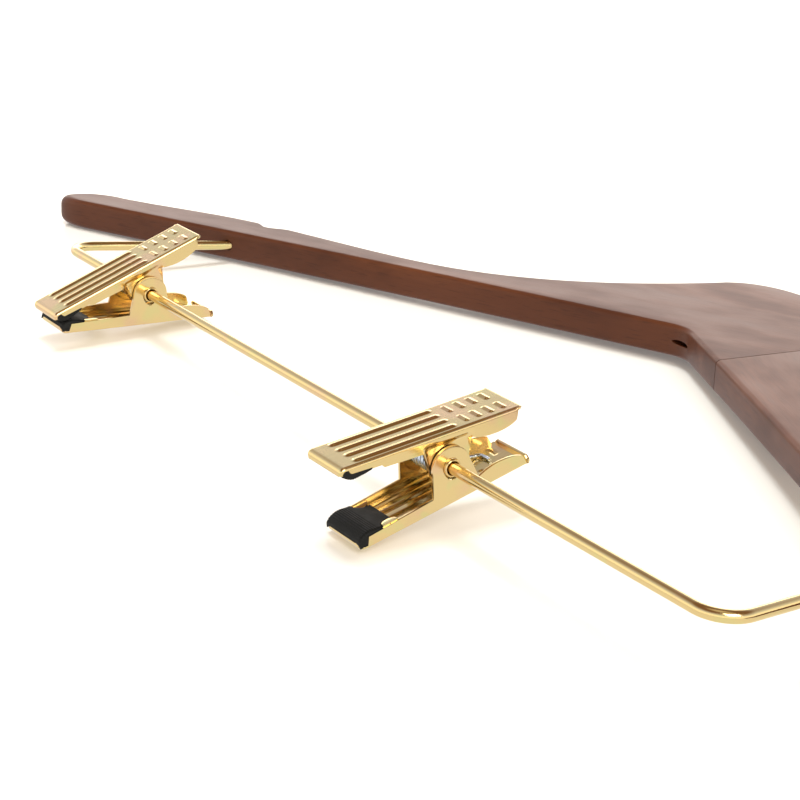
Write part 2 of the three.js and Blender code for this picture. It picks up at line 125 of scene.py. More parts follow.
class WoodSizes(bpy.types.PropertyGroup):
    """Plan and edges of the wooden body."""

    span: length("Span", 445, "Width from tip to tip")
    thickness: length("Thickness", 9.6, "Thickness of the wood")
    edge_round: length("Edge round", 1.5, "Radius of the rounded edges")
    tip_edge_round: length("Tip edge round", 3.2, "Radius of the edges round the very tip")
    arm_slope: turn("Arm slope", 24.5, "Fall of the arms from the middle")
    arm_bow: length("Arm bow", 1.5, "Rise of the lower edge in the middle of an arm")
    apex_drop: length("Apex drop", 22, "Inner corner below the origin")
    apex_fillet: length("Apex fillet", 5, "Run of the round in the inner corner")
    tip_width: length("Tip width", 15.5, "Width of an arm where its round tip starts")
    tip_round: length("Tip round", 15, "Length of the round tip")
    tip_top_drop: length("Tip top drop", 4, "Fall of the upper edge over the round tip")
    shoulder_from_tip: length("Shoulder from tip", 55, "Place of the widest part of an arm")
    shoulder_width: length("Shoulder width", 18.5, "Greatest width of an arm")
    waist_from_centre: length("Waist from centre", 92, "Place of the slimmest part of an arm")
    waist_width: length("Waist width", 11.5, "Least width of an arm")
    head_height: length("Head height", 34, "Top of the head above the origin")
    head_half_width: length("Head half width", 34, "Half width of the head")
    head_flat: length("Head flat", 8, "Half width of the flat on the head's top")
    head_shoulder_drop: length("Head shoulder drop", 12, "Shoulder of the head below its top")
    head_shoulder_lean: length("Head shoulder lean", 5, "Inward lean of the head's shoulder")
    head_shoulder_rise: length("Head shoulder rise", 10, "Upward pull of the head's shoulder")
    crown_softness: length("Crown softness", 10, "Softness of the corner of the head")
    neck_run_up: length("Neck run up", 26, "Straight pull of the neck curve along the arm")
    neck_hollow_out: length("Neck hollow out", 12, "Outward pull of the neck curve at the head")
    neck_hollow_drop: length("Neck hollow drop", 38, "Downward pull of the neck curve at the head")
    notch_depth: length("Notch depth", 2.6, "Depth of the strap notches")
    notch_width: length("Notch width", 13, "Width of the strap notches")
    seam_from_centre: length("Seam from centre", 28, "Place of the glued seam")
    seam_lean: turn("Seam lean", 9, "Lean of the glued seam")
    seam_gap: length("Seam gap", 0.3, "Width of the seam line")
    recess_radius: length("Recess radius", 3.6, "Radius of the nut recess")
    recess_depth: length("Recess depth", 9, "Depth of the nut recess above the inner corner")
    recess_cover: length("Recess cover", 1.6, "Wood left under the nut recess at the inner corner")
    recess_slot: length("Recess slot", 1.5, "Height of the slot through that wood")


class WireSizes(bpy.types.PropertyGroup):
    """The bar that carries the clips, and the hook."""

    bar_wire: length("Bar wire", 3, "Thickness of the bar")
    bar_half_length: length("Bar half length", 160, "Half the length of the bar between its corners")
    bar_bend: length("Bar bend", 7.5, "Radius of the bar's corners")
    bar_below_apex: length("Bar below apex", 121.5, "Bar below the inner corner of the wood")
    bar_lift: length("Bar lift", 3.4, "Bar in front of the middle of the wood")
    leg_lean: turn("Leg lean", 8.3, "Inward lean of the legs")
    socket_depth: length("Socket depth", 11, "Depth of a leg in the wood")
    hook_wire: length("Hook wire", 3.6, "Thickness of the hook")
    hook_loop: length("Hook loop", 21.9, "Radius of the hook's loop")
    hook_neck_turn: turn("Hook neck turn", 70, "Turn of the hook's neck")
    hook_sweep: turn("Hook sweep", 258, "Turn of the hook's loop")
    shank_above_head: length("Shank above head", 12, "Straight shank above the head")
    shank_below: length("Shank below", 18.4, "End of the shank below the origin")
    hook_ball: length("Hook ball", 2.6, "Radius of the ball on the hook's tip")


class ClipSizes(bpy.types.PropertyGroup):
    """The folded sheet levers, in a frame with the plate level and the pivot at the origin."""

    sheet: length("Sheet", 0.75, "Thickness of the sheet metal")
    width: length("Width", 15.6, "Width of a clip")
    plate_height: length("Plate height", 9.5, "Plate above the pivot")
    nose: length("Nose", 28, "Pivot to the nose")
    nose_overhang: length("Nose overhang", 1.5, "How much further the upper nose reaches")
    nose_stack: length("Nose stack", 3.9, "Half the height of the closed noses")
    tail: length("Tail", 21.5, "Pivot to the end of the thumb plate")
    side_fold: length("Side fold", 0.8, "Radius of the folds along the sides")
    nose_fold: length("Nose fold", 1.5, "Radius of the bend at the nose")
    tail_fold: length("Tail fold", 0.8, "Radius of the bend at the thumb end")
    nose_lip: length("Nose lip", 2.2, "Height of the turned-in nose")
    tail_lip: length("Tail lip", 1.9, "Height of the turned-in thumb end")
    tail_corner: length("Tail corner", 1.7, "Narrowing of the thumb end at each side towards its edge")
    upper_nose_wall: length("Upper nose wall", 2.2, "Depth of the upper lever's side walls at the nose")
    lower_nose_wall: length("Lower nose wall", 3.2, "Depth of the lower lever's side walls at the nose")
    pad_step: length("Pad step", 18.2, "Place before the pivot where the upper walls deepen behind the pad")
    middle_wall: length("Middle wall", 3.8, "Depth of the side walls beside the ears")
    tail_wall: length("Tail wall", 4.8, "Greatest depth of the side walls at the tail")
    tail_bulge: length("Tail bulge", 12.2, "Place of that depth behind the pivot")
    corner_relief: length("Corner relief", 2.6, "Gap between nose lip and side wall")
    lower_lip_cut: length("Lower lip cut", 1.7, "Narrowing of the lower lip at each end towards its edge")
    upper_lip_cut: length("Upper lip cut", 0.3, "Narrowing of the upper lip at each end towards its edge")
    ear_radius: length("Ear radius", 5.3, "Radius of the ears")
    ear_foot: length("Ear foot", 6.6, "Front foot of the ears")
    ear_heel: length("Ear heel", 6.5, "Back foot of the ears")
    ear_step: length("Ear step", 1.05, "Inward step of the upper lever's ears")
    ear_bend: length("Ear bend", 2.2, "Length of the bend of that step, down the wall and beside the ear")
    hole_radius: length("Hole radius", 2.35, "Half width of the hole in the ears")
    hole_slack: length("Hole slack", 0.8, "Extra height of that hole towards the plate")
    lug_radius: length("Lug radius", 2.1, "Radius of the lugs that hold the pads")
    lug_from_pivot: length("Lug from pivot", 18.6, "Place of the lugs in front of the pivot")
    lug_drop: length("Lug drop", 0.3, "Lugs below the edge of the side walls")
    rib_pitch: length("Rib pitch", 3.65, "Distance between the long raised ribs of the plate")
    rib_width: length("Rib width", 2.5, "Width of a raised rib")
    rib_front: length("Rib front", 23.5, "Front end of the ribs before the pivot")
    rib_back: length("Rib back", 2.6, "Back end of the ribs behind the pivot")
    grip_length: length("Grip length", 4.6, "Length of a thumb grip across the lever")
    grip_width: length("Grip width", 1.7, "Width of a thumb grip")
    grip_pitch: length("Grip pitch", 3.5, "Distance between the rows of thumb grips")
    grip_first: length("Grip first", 7.0, "First row of thumb grips behind the pivot")
    grip_aside: length("Grip aside", 3.5, "Thumb grips aside of the middle")
    raised: length("Raised", 0.36, "Height of the raised ribs and thumb grips")
    left_tilt: turn("Left tilt", -1, "Slope of the left clip's lower plate")
    right_tilt: turn("Right tilt", 17, "Slope of the right clip's lower plate")
    right_opening: turn("Right opening", 31, "How far the right clip is open")


class SmallSizes(bpy.types.PropertyGroup):
    """Rubber pads, springs and eyelets."""

    pad_reach: length("Pad reach", 11.2, "Length of a pad")
    pad_crest: length("Pad crest", 3.6, "Place of a pad's crest behind its front")
    pad_side_round: length("Pad side round", 0.9, "Round along the sides of a pad")
    pad_back: length("Pad back", 2.6, "Height of a pad at its back")
    pad_rib_pitch: length("Pad rib pitch", 0.62, "Distance between the fine ribs")
    pad_rib_depth: length("Pad rib depth", 0.1, "Depth of the fine ribs")
    pad_ribs_end: length("Pad ribs end", 6.2, "End of the fine ribs behind the pad's front")
    seat_gap: length("Seat gap", 0.12, "Clearance of a pad in its lever")
    closing_gap: length("Closing gap", 0.3, "Gap between closed pads")
    spring_wire: length("Spring wire", 0.95, "Thickness of the spring wire")
    spring_radius: length("Spring radius", 3.15, "Radius of the coil at the middle of its wire")
    spring_turns: number("Spring turns", 7, "Turns of the coil")
    spring_pitch: length("Spring pitch", 1.25, "Distance between turns")
    spring_reach: length("Spring reach", 14.5, "Length of the spring's legs")
    spring_foot: length("Spring foot", 4.5, "Length of the crosswise feet")
    spring_bend: length("Spring bend", 1.5, "Radius of the bend before a foot")
    eyelet_bore: length("Eyelet bore", 1.62, "Radius of the eyelet's bore")
    eyelet_tube: length("Eyelet tube", 2.1, "Outer radius of the eyelet")
    eyelet_rim: length("Eyelet rim", 2.3, "Radius of the rolled rim")
    eyelet_rim_height: length("Eyelet rim height", 0.7, "Height of the rolled rim")


class Finishes(bpy.types.PropertyGroup):
    """Colours of the finishes."""

    wood_dark: colour("Wood dark", 0.046, 0.012, 0.0044, "Dark lines of the stained grain")
    wood_light: colour("Wood light", 0.127, 0.038, 0.0135, "Light bands of the stained grain")
    gold: colour("Gold", 0.75, 0.56, 0.255, "Plating")
    gold_rose: colour("Gold rose", 0.755, 0.52, 0.28, "Rosy tint in the plating")
    gold_green: colour("Gold green", 0.69, 0.585, 0.255, "Greenish tint in the plating")
    rubber: colour("Rubber", 0.009, 0.009, 0.008, "Moulded rubber")
    zinc: colour("Zinc", 0.66, 0.72, 0.80, "Spring wire")
    zinc_dull: colour("Zinc dull", 0.42, 0.47, 0.54, "Dull spots on the spring wire")
    table: colour("Table", 0.95, 0.89, 0.80, "Table top under the hanger")
    soft_tint: colour("Soft tint", 1.0, 0.9, 0.76, "Even light from all sides")


class StageSizes(bpy.types.PropertyGroup):
    """Camera, floor and light."""

    camera_x: length("Camera X", 444.6, "Camera to the right")
    camera_y: length("Camera Y", -404.1, "Camera in front of the bar")
    camera_z: length("Camera Z", 180.6, "Camera above the back face")
    heading: turn("Heading", 57.26, "Camera's turn to the left of +Y")
    pitch: turn("Pitch", 18.68, "Camera's fall below the horizon")
    roll: turn("Roll", -2.21, "Camera's roll")
    field: turn("Field", 21.47, "Camera's field of view")
    floor_level: length("Floor level", -1.8, "Floor under the origin")
    floor_slope_x: number("Floor slope X", -0.0263, "Rise of the floor along X")
    floor_slope_y: number("Floor slope Y", 0.0364, "Rise of the floor along Y")
    floor_size: length("Floor size", 9000, "Width of the floor")
    floor_white: number("Floor white", 0.15, "Share of plain white in the floor as the camera sees it")
    floor_mirrored: number("Floor mirrored", 0.85, "Share of plain white in the floor in shiny metal")
    soft_light: number("Soft light", 0.75, "Strength of the even light from all sides")
    key_light: number("Key light", 20, "Power of the lamp overhead")
    side_light: number("Side light", 12, "Power of the lamp to the right")
    back_light: number("Back light", 14, "Power of the low panel behind")


SETTINGS = {
    "hanger_wood": WoodSizes,
    "hanger_wire": WireSizes,
    "hanger_clip": ClipSizes,
    "hanger_small": SmallSizes,
    "hanger_finish": Finishes,
    "hanger_stage": StageSizes,
}


def settings(group):
    """The settings of one group, such as wood or clip."""
    return getattr(bpy.context.scene, f"hanger_{group}")


# Numbers and curves


def smoothstep(value, low, high):
    """0 below low, 1 above high, and 3t^2 - 2t^3 between."""
    part = np.clip((value - low) / (high - low), 0, 1)
    return part * part * (3 - 2 * part)


def bezier(points, count):
    """A quadratic or cubic curve: the points weighted by the Bernstein polynomials."""
    t = np.linspace(0, 1, count)[:, None]
    degree = len(points) - 1
    weights = [math.comb(degree, k) * t**k * (1 - t) ** (degree - k) for k in range(degree + 1)]
    return sum(weight * np.array(point) for weight, point in zip(weights, points))


def resample(curve, count):
    """The same curve with points at equal steps along its length."""
    steps = np.linalg.norm(np.diff(curve, axis=0), axis=1)
    along = np.concatenate([[0], np.cumsum(steps)])
    wanted = np.linspace(0, along[-1], count)
    return np.stack([np.interp(wanted, along, axis) for axis in curve.T], 1)


def tangents(curve):
    """Unit directions along a curve from its central differences."""
    ahead = np.gradient(curve, axis=0)
    return ahead / np.linalg.norm(ahead, axis=1)[:, None]


def arc(centre, radius, start, sweep, count):
    """Points of a circular arc in a plane."""
    angle = np.linspace(start, start + sweep, count)
    return np.array(centre) + radius * np.stack([np.cos(angle), np.sin(angle)], 1)


# Meshes


def quads(rows, columns, wrap=False):
    """Faces of a grid of vertices, row by row; wrap joins the last column to the first."""
    row = np.arange(rows - 1)[:, None] * columns
    below = row + columns
    here = np.arange(columns if wrap else columns - 1)[None, :]
    after = (here + 1) % columns
    return np.stack([row + here, row + after, below + after, below + here], -1).reshape(-1, 4)


def joined(parts):
    """Vertices and faces of several surfaces in one list."""
    vertices, faces, base = [], [], 0
    for points, cells in parts:
        vertices.append(points)
        faces.extend((np.asarray(cells) + base).tolist())
        base += len(points)
    return np.concatenate(vertices), faces


def tube(path, radius, sides):
    """A round wire with flat ends: a circle carried along a path and turned as little as possible."""
    ahead = tangents(path)
    slanting = np.array([0.3, 0.5, 0.8])
    side = np.cross(ahead[0], slanting)
    across = []
    for direction in ahead:
        side = side - direction * (side @ direction)
        side = side / np.linalg.norm(side)
        across.append(side)
    across = np.array(across)
    up = np.cross(ahead, across)
    angle = np.linspace(0, 2 * math.pi, sides, endpoint=False)
    ring = across[:, None] * np.cos(angle)[None, :, None] + up[:, None] * np.sin(angle)[None, :, None]
    points = path[:, None] + np.asarray(radius).reshape(-1, 1, 1) * ring
    cells = quads(len(path), sides, wrap=True).tolist()
    last = (len(path) - 1) * sides
    cells.append(list(range(sides))[::-1])
    cells.append(list(range(last, last + sides)))
    return points.reshape(-1, 3), cells


def lathe(profile, sides):
    """A closed profile of (radius, height) pairs turned about the third axis."""
    angle = np.linspace(0, 2 * math.pi, sides, endpoint=False)
    radius, height = profile[:, :1], profile[:, 1:]
    points = np.stack([radius * np.cos(angle), radius * np.sin(angle), height + 0 * angle], -1)
    cells = quads(len(profile) + 1, sides, wrap=True) % (len(profile) * sides)
    return points.reshape(-1, 3), cells


def new_object(name, points, cells, outward=True):
    """An object at the origin from vertices and faces, with doubles merged and faces pointing outwards."""
    mesh = bpy.data.meshes.new(name)
    mesh.from_pydata(np.asarray(points).tolist(), [], [list(cell) for cell in cells])
    work = bmesh.new()
    work.from_mesh(mesh)
    bmesh.ops.remove_doubles(work, verts=work.verts, dist=SAME_POINT)
    bmesh.ops.dissolve_degenerate(work, edges=work.edges, dist=SHORT_EDGE)
    if outward:
        bmesh.ops.recalc_face_normals(work, faces=work.faces)
    work.to_mesh(mesh)
    work.free()
    thing = bpy.data.objects.new(name, mesh)
    bpy.context.scene.collection.objects.link(thing)
    return thing


def settle(thing):
    """Writes an object's modifiers into its mesh."""
    bpy.context.view_layer.update()
    graph = bpy.context.evaluated_depsgraph_get()
    mesh = bpy.data.meshes.new_from_object(thing.evaluated_get(graph))
    thing.modifiers.clear()
    thing.data = mesh


def combine(thing, operation, points, cells):
    """Joins a closed shape to an object (UNION) or takes it out of it (DIFFERENCE)."""
    other = new_object("other", points, cells)
    change = thing.modifiers.new("change", "BOOLEAN")
    change.operation, change.solver, change.object = operation, "EXACT", other
    settle(thing)
    bpy.data.objects.remove(other)


def bevel(thing, width):
    """Rounds an object's sharp edges."""
    sharp = math.radians(50)
    change = thing.modifiers.new("round", "BEVEL")
    change.width, change.segments = width, 2
    change.limit_method, change.angle_limit = "ANGLE", sharp
    settle(thing)


def paint_over(thing, finish):
    """Gives an object one material."""
    thing.data.materials.clear()
    thing.data.materials.append(finish)


def finished(thing, finish, body, nodes, crease=35):
    """Gives a piece its smooth shading up to a crease in degrees, its material and its body, and hides the
    CAD solids that it stands for.
    """
    thing.data.shade_smooth()
    thing.data.set_sharp_from_angle(angle=math.radians(crease))
    paint_over(thing, finish)
    if body:
        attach(thing, body)
    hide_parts(*nodes)


# Materials


FIBRE = (50 * MM, 1.2 * MM, 1.2 * MM)
BAND = (140 * MM, 20 * MM, 20 * MM)
PORE = (6 * MM, 0.4 * MM, 0.4 * MM)
STAIN = (30 * MM, 12 * MM, 12 * MM)
TINT = (11 * MM, 11 * MM, 11 * MM)
WIRE_MARK = (20 * MM, 0.25 * MM, 0.25 * MM)
SHEET_MARK = (0.6 * MM, 12 * MM, 0.6 * MM)
SKIN = (0.6 * MM, 0.6 * MM, 0.6 * MM)
DUST = (4 * MM, 4 * MM, 4 * MM)
SPOT = (1.2 * MM, 1.2 * MM, 1.2 * MM)

COLOUR_A, COLOUR_B, MIXED_COLOUR = 6, 7, 2


class Nodes:
    """A short way to add and link the nodes of a material or world."""

    def __init__(self, owner):
        owner.use_nodes = True
        self.owner = owner
        self.tree = owner.node_tree
        self.shader = self.tree.nodes.get("Principled BSDF")

    def add(self, kind, values=None, **options):
        """A new node with its options and the values of its sockets."""
        node = self.tree.nodes.new(kind)
        for key, value in options.items():
            setattr(node, key, value)
        self.put(node, values or {})
        return node

    @staticmethod
    def put(node, values):
        """Sets sockets of a node to plain values."""
        for key, value in values.items():
            node.inputs[key].default_value = value

    def link(self, source, output, target, socket):
        """Links an output of one node to a socket of another."""
        self.tree.links.new(source.outputs[output], target.inputs[socket])

    def noise(self, size, detail, roughness, turned=0.0, scale=1.0):
        """Noise on Object coordinates: patches of a size along each axis, turned about the third."""
        where = self.add("ShaderNodeTexCoord")
        place = {"Rotation": (0, 0, turned), "Scale": size}
        mapping = self.add("ShaderNodeMapping", place, vector_type="TEXTURE")
        node = self.add("ShaderNodeTexNoise", {"Scale": scale, "Detail": detail, "Roughness": roughness})
        self.link(where, "Object", mapping, "Vector")
        self.link(mapping, "Vector", node, "Vector")
        return node

    def spread(self, noise, low, high, to_low, to_high):
        """Maps a range of a noise to another range by a smooth step."""
        ends = {"From Min": low, "From Max": high, "To Min": to_low, "To Max": to_high}
        node = self.add("ShaderNodeMapRange", ends, interpolation_type="SMOOTHSTEP")
        self.link(noise, "Fac", node, "Value")
        return node

    def mixed(self, share, first, second):
        """A colour between two, by a spread noise; either colour may be a mixed one."""
        node = self.add("ShaderNodeMix", data_type="RGBA")
        self.link(share, "Result", node, "Factor")
        for socket, value in ((COLOUR_A, first), (COLOUR_B, second)):
            if isinstance(value, bpy.types.Node):
                self.link(value, MIXED_COLOUR, node, socket)
            else:
                node.inputs[socket].default_value = (*value, 1)
        return node

    def paint(self, node):
        """Sends a mixed colour to the shader."""
        self.link(node, MIXED_COLOUR, self.shader, "Base Color")

    def dull(self, noise, low, high, least, most):
        """Sends a spread noise to the shader's roughness."""
        self.link(self.spread(noise, low, high, least, most), "Result", self.shader, "Roughness")

    def bump(self, noise, strength, distance):
        """Lets a noise roughen the surface."""
        node = self.add("ShaderNodeBump", {"Strength": strength, "Distance": distance})
        self.link(noise, "Fac", node, "Height")
        self.link(node, "Normal", self.shader, "Normal")

    def either(self, share, output, first, second):
        """A mix of two shaders by a share."""
        node = self.add("ShaderNodeMixShader")
        self.link(share, output, node, "Fac")
        self.link(first, 0, node, 1)
        self.link(second, 0, node, 2)
        return node


def stained_wood(name, along):
    """Dark stained wood under satin lacquer, with its grain at an angle to the X axis."""
    colours = settings("finish")
    dark, light = tuple(colours.wood_dark), tuple(colours.wood_light)
    mean = tuple((low + high) / 2 for low, high in zip(dark, light))
    nodes = Nodes(bpy.data.materials.new(name))
    fibre = nodes.noise(FIBRE, 5.0, 0.6, along)
    band = nodes.noise(BAND, 3.0, 0.5, along)
    pore = nodes.noise(PORE, 1.0, 0.4, along)
    cloud = nodes.noise(STAIN, 3.0, 0.55, along)
    tone = nodes.mixed(nodes.spread(band, 0.35, 0.65, 0.0, 1.0), mean, light)
    grain = nodes.mixed(nodes.spread(fibre, 0.3, 0.7, 0.45, 1.0), mean, tone)
    stain = nodes.mixed(nodes.spread(cloud, 0.46, 0.74, 0.0, 0.55), grain, dark)
    nodes.paint(nodes.mixed(nodes.spread(pore, 0.6, 0.72, 0.0, 0.45), stain, dark))
    nodes.dull(cloud, 0.3, 0.7, 0.35, 0.42)
    nodes.put(nodes.shader, {"Specular IOR Level": 0.24})
    nodes.bump(pore, 0.1, 0.3 * MM)
    return nodes.owner


def gold_plating(name, mark_size):
    """Bright pale gold plating with faint rosy and green tints, soft drawing marks and smudges."""
    colours = settings("finish")
    nodes = Nodes(bpy.data.materials.new(name))
    cloud = nodes.noise(TINT, 2.0, 0.5)
    finer_cloud = nodes.noise(TINT, 2.0, 0.5, scale=1.7)
    mark = nodes.noise(mark_size, 2.0, 0.5)
    rosy = nodes.spread(cloud, 0.5, 0.68, 0.0, 1.0)
    greenish = nodes.spread(finer_cloud, 0.52, 0.7, 0.0, 0.8)
    warm = nodes.mixed(rosy, tuple(colours.gold), tuple(colours.gold_rose))
    nodes.paint(nodes.mixed(greenish, warm, tuple(colours.gold_green)))
    nodes.put(nodes.shader, {"Metallic": 1.0})
    nodes.dull(cloud, 0.35, 0.7, 0.13, 0.22)
    nodes.bump(mark, 0.05, 0.2 * MM)
    return nodes.owner


def moulded_rubber(name):
    """Matt black rubber with a fine skin and a little dust."""
    black = tuple(settings("finish").rubber)
    paler = 2.2
    dusted = tuple(paler * share for share in black)
    nodes = Nodes(bpy.data.materials.new(name))
    skin = nodes.noise(SKIN, 2.0, 0.5)
    dust = nodes.noise(DUST, 3.0, 0.6)
    nodes.paint(nodes.mixed(nodes.spread(dust, 0.45, 0.75, 0.0, 0.6), black, dusted))
    nodes.dull(dust, 0.3, 0.7, 0.5, 0.66)
    nodes.put(nodes.shader, {"Specular IOR Level": 0.15})
    nodes.bump(skin, 0.15, 0.2 * MM)
    return nodes.owner


def zinc_plating(name):
    """Bright zinc plating with dull spots."""
    colours = settings("finish")
    nodes = Nodes(bpy.data.materials.new(name))
    spot = nodes.noise(SPOT, 3.0, 0.6)
    dull = nodes.spread(spot, 0.5, 0.72, 0.0, 1.0)
    nodes.paint(nodes.mixed(dull, tuple(colours.zinc), tuple(colours.zinc_dull)))
    nodes.put(nodes.shader, {"Metallic": 1.0})
    nodes.dull(spot, 0.3, 0.7, 0.18, 0.34)
    nodes.bump(spot, 0.06, 0.2 * MM)
    return nodes.owner


def material(name, maker, *inputs):
    """The named material, made the first time that it is asked for."""
    return bpy.data.materials.get(name) or maker(name, *inputs)


def gold_sheet():
    """Plating with marks along the levers."""
    return material("gold_sheet", gold_plating, SHEET_MARK)


def gold_wire():
    """Plating with marks along the bar."""
    return material("gold_wire", gold_plating, WIRE_MARK)


# Wooden body


def lower_edge(x):
    """Lower edge of an arm: a straight fall from the inner corner with a half sine wave's rise."""
    wood = settings("wood")
    out = np.abs(x)
    bow = wood.arm_bow * np.sin(math.pi * out / (wood.span / 2))
    return -wood.apex_drop - out * math.tan(wood.arm_slope) + bow


def leg_entry():
    """Distance from the middle at which a leaning leg meets the wood, found in a few equal rounds."""
    wire = settings("wire")
    bar_y = -settings("wood").apex_drop - wire.bar_below_apex
    x, rounds = wire.bar_half_length, 12
    for _ in range(rounds):
        x = wire.bar_half_length - (lower_edge(x) - bar_y) * math.tan(wire.leg_lean)
    return float(x)


def right_edges():
    """Lower and upper edge of the right half of the body, each from the tip's end to the middle."""
    wood = settings("wood")
    half = wood.span / 2
    start = half - wood.tip_round
    low = (start, lower_edge(start))
    high = (start, low[1] + wood.tip_width)
    end = (half, (low[1] + high[1]) / 2 - wood.tip_round * math.tan(wood.arm_slope))
    under_tip = bezier([end, (half, lower_edge(half)), low], 24)
    over_tip = bezier([end, (half, high[1] - wood.tip_top_drop), high], 24)

    x = np.linspace(start, wood.apex_fillet, 160)
    inner = (wood.apex_fillet, lower_edge(wood.apex_fillet))
    fillet = bezier([inner, (0, -wood.apex_drop), (-inner[0], inner[1])], 21)[:11]
    lower = np.concatenate([under_tip, np.stack([x, lower_edge(x)], 1)[1:], fillet[1:]])

    x = np.linspace(start, wood.waist_from_centre, 240)
    shoulder_x = half - wood.shoulder_from_tip
    to_tip = smoothstep(x, shoulder_x, start)
    outside = wood.shoulder_width + (wood.tip_width - wood.shoulder_width) * to_tip
    rise = smoothstep(x, wood.waist_from_centre, shoulder_x)
    inside = wood.waist_width + (wood.shoulder_width - wood.waist_width) * rise
    across = np.clip(np.abs(x - leg_entry()) / (wood.notch_width / 2), 0, 1)
    notch = wood.notch_depth * np.cos(across * math.pi / 2) ** 2
    arm = np.stack([x, lower_edge(x) + np.where(x > shoulder_x, outside, inside) - notch], 1)
    waist = arm[-1]
    shoulder = np.array([wood.head_half_width, wood.head_height - wood.head_shoulder_drop])
    neck = bezier(
        [
            waist,
            waist + wood.neck_run_up * np.array([-1, math.tan(wood.arm_slope)]),
            shoulder + [wood.neck_hollow_out, -wood.neck_hollow_drop],
            shoulder,
        ],
        60,
    )
    crown = bezier(
        [
            shoulder,
            shoulder + [-wood.head_shoulder_lean, wood.head_shoulder_rise],
            (wood.head_flat + wood.crown_softness, wood.head_height),
            (wood.head_flat, wood.head_height),
        ],
        40,
    )
    upper = np.concatenate([over_tip, arm[1:], neck[1:], crown[1:], [[0, wood.head_height]]])
    return lower, upper


def up_to_seam(curve, sign):
    """The part of a curve, from its tip on, that lies on one side of the glued seam."""
    wood = settings("wood")
    foot = np.array([wood.seam_from_centre, lower_edge(wood.seam_from_centre)])
    across = np.array([math.cos(wood.seam_lean), -math.sin(wood.seam_lean)])
    past = sign * ((curve - foot) @ across) - wood.seam_gap / 2
    last = int(np.argmax(past < 0))
    share = past[last - 1] / (past[last - 1] - past[last])
    crossing = curve[last - 1] + share * (curve[last] - curve[last - 1])
    return np.concatenate([curve[:last], [crossing]])


def arm_sections(lower, upper):
    """A closed body between two edges: at each station a section with rounded edges.

    Along an edge the section is a quarter circle, the side, and a quarter circle, set in from the edge
    along its normal; between the two edges it runs straight across the front and back faces. The radius
    grows in a smooth step towards the tip, where the two edges meet.
    """
    wood = settings("wood")
    angle = np.linspace(-math.pi / 2, 0, 7)
    rings = []
    for edge, other in ((lower, upper), (upper, lower)):
        at_tip = smoothstep(np.abs(edge[:, 0]), wood.span / 2 - wood.tip_round, wood.span / 2)
        radius = (wood.edge_round + (wood.tip_edge_round - wood.edge_round) * at_tip)[:, None]
        quarter = radius * (1 - np.cos(angle))
        inset = np.concatenate([quarter, quarter[:, ::-1]], 1)
        rise = radius * (1 + np.sin(angle))
        height = np.concatenate([rise, wood.thickness - rise[:, ::-1]], 1)
        ahead = tangents(edge)
        normal = np.stack([ahead[:, 1], -ahead[:, 0]], 1)
        middle = len(edge) // 2
        normal = normal * np.sign(normal[middle] @ (edge[middle] - other[middle]))
        flat = edge[:, None] - normal[:, None] * inset[:, :, None]
        rings.append(np.concatenate([flat, height[:, :, None]], 2))
    rings[0][0] = rings[1][0] = (rings[0][0] + rings[1][0]) / 2
    low, high = rings[0], rings[1][:, ::-1]
    share = np.linspace(0, 1, 12)[1:-1][None, :, None]
    front = low[:, -1:] + share * (high[:, :1] - low[:, -1:])
    back = high[:, -1:] + share * (low[:, :1] - high[:, -1:])
    sections = np.concatenate([low, front, high, back], 1)
    count = sections.shape[1]
    cells = quads(len(sections), count, wrap=True).tolist()
    cells.append(list(range((len(sections) - 1) * count, len(sections) * count)))
    return sections.reshape(-1, 3), cells


def matched(lower, upper, waist):
    """Two edges with stations that face each other, from the tip to the waist and from the waist on."""
    pairs = []
    for edge in (lower, upper):
        at = int(np.argmax(np.abs(edge[:, 0]) <= waist))
        pairs.append((resample(edge[: at + 1], ARM_STATIONS), resample(edge[at:], HEAD_STATIONS)))
    return [np.concatenate([outer, inner[1:]]) for outer, inner in pairs]


def leg_line(sign):
    """Entry point and inward direction of a bar leg at the wood."""
    corner, along, _, run = bar_plane(sign)
    return corner + along * run, along


def bar_plane(sign):
    """A bar corner, the direction of its leg, the direction along the bar and the leg's free length."""
    wood, wire = settings("wood"), settings("wire")
    bar_y = -wood.apex_drop - wire.bar_below_apex
    middle = wood.thickness / 2
    corner = np.array([sign * wire.bar_half_length, bar_y, middle + wire.bar_lift])
    entry = np.array([sign * leg_entry(), lower_edge(leg_entry()), middle])
    run = np.linalg.norm(entry - corner)
    return corner, (entry - corner) / run, np.array([sign, 0.0, 0.0]), run


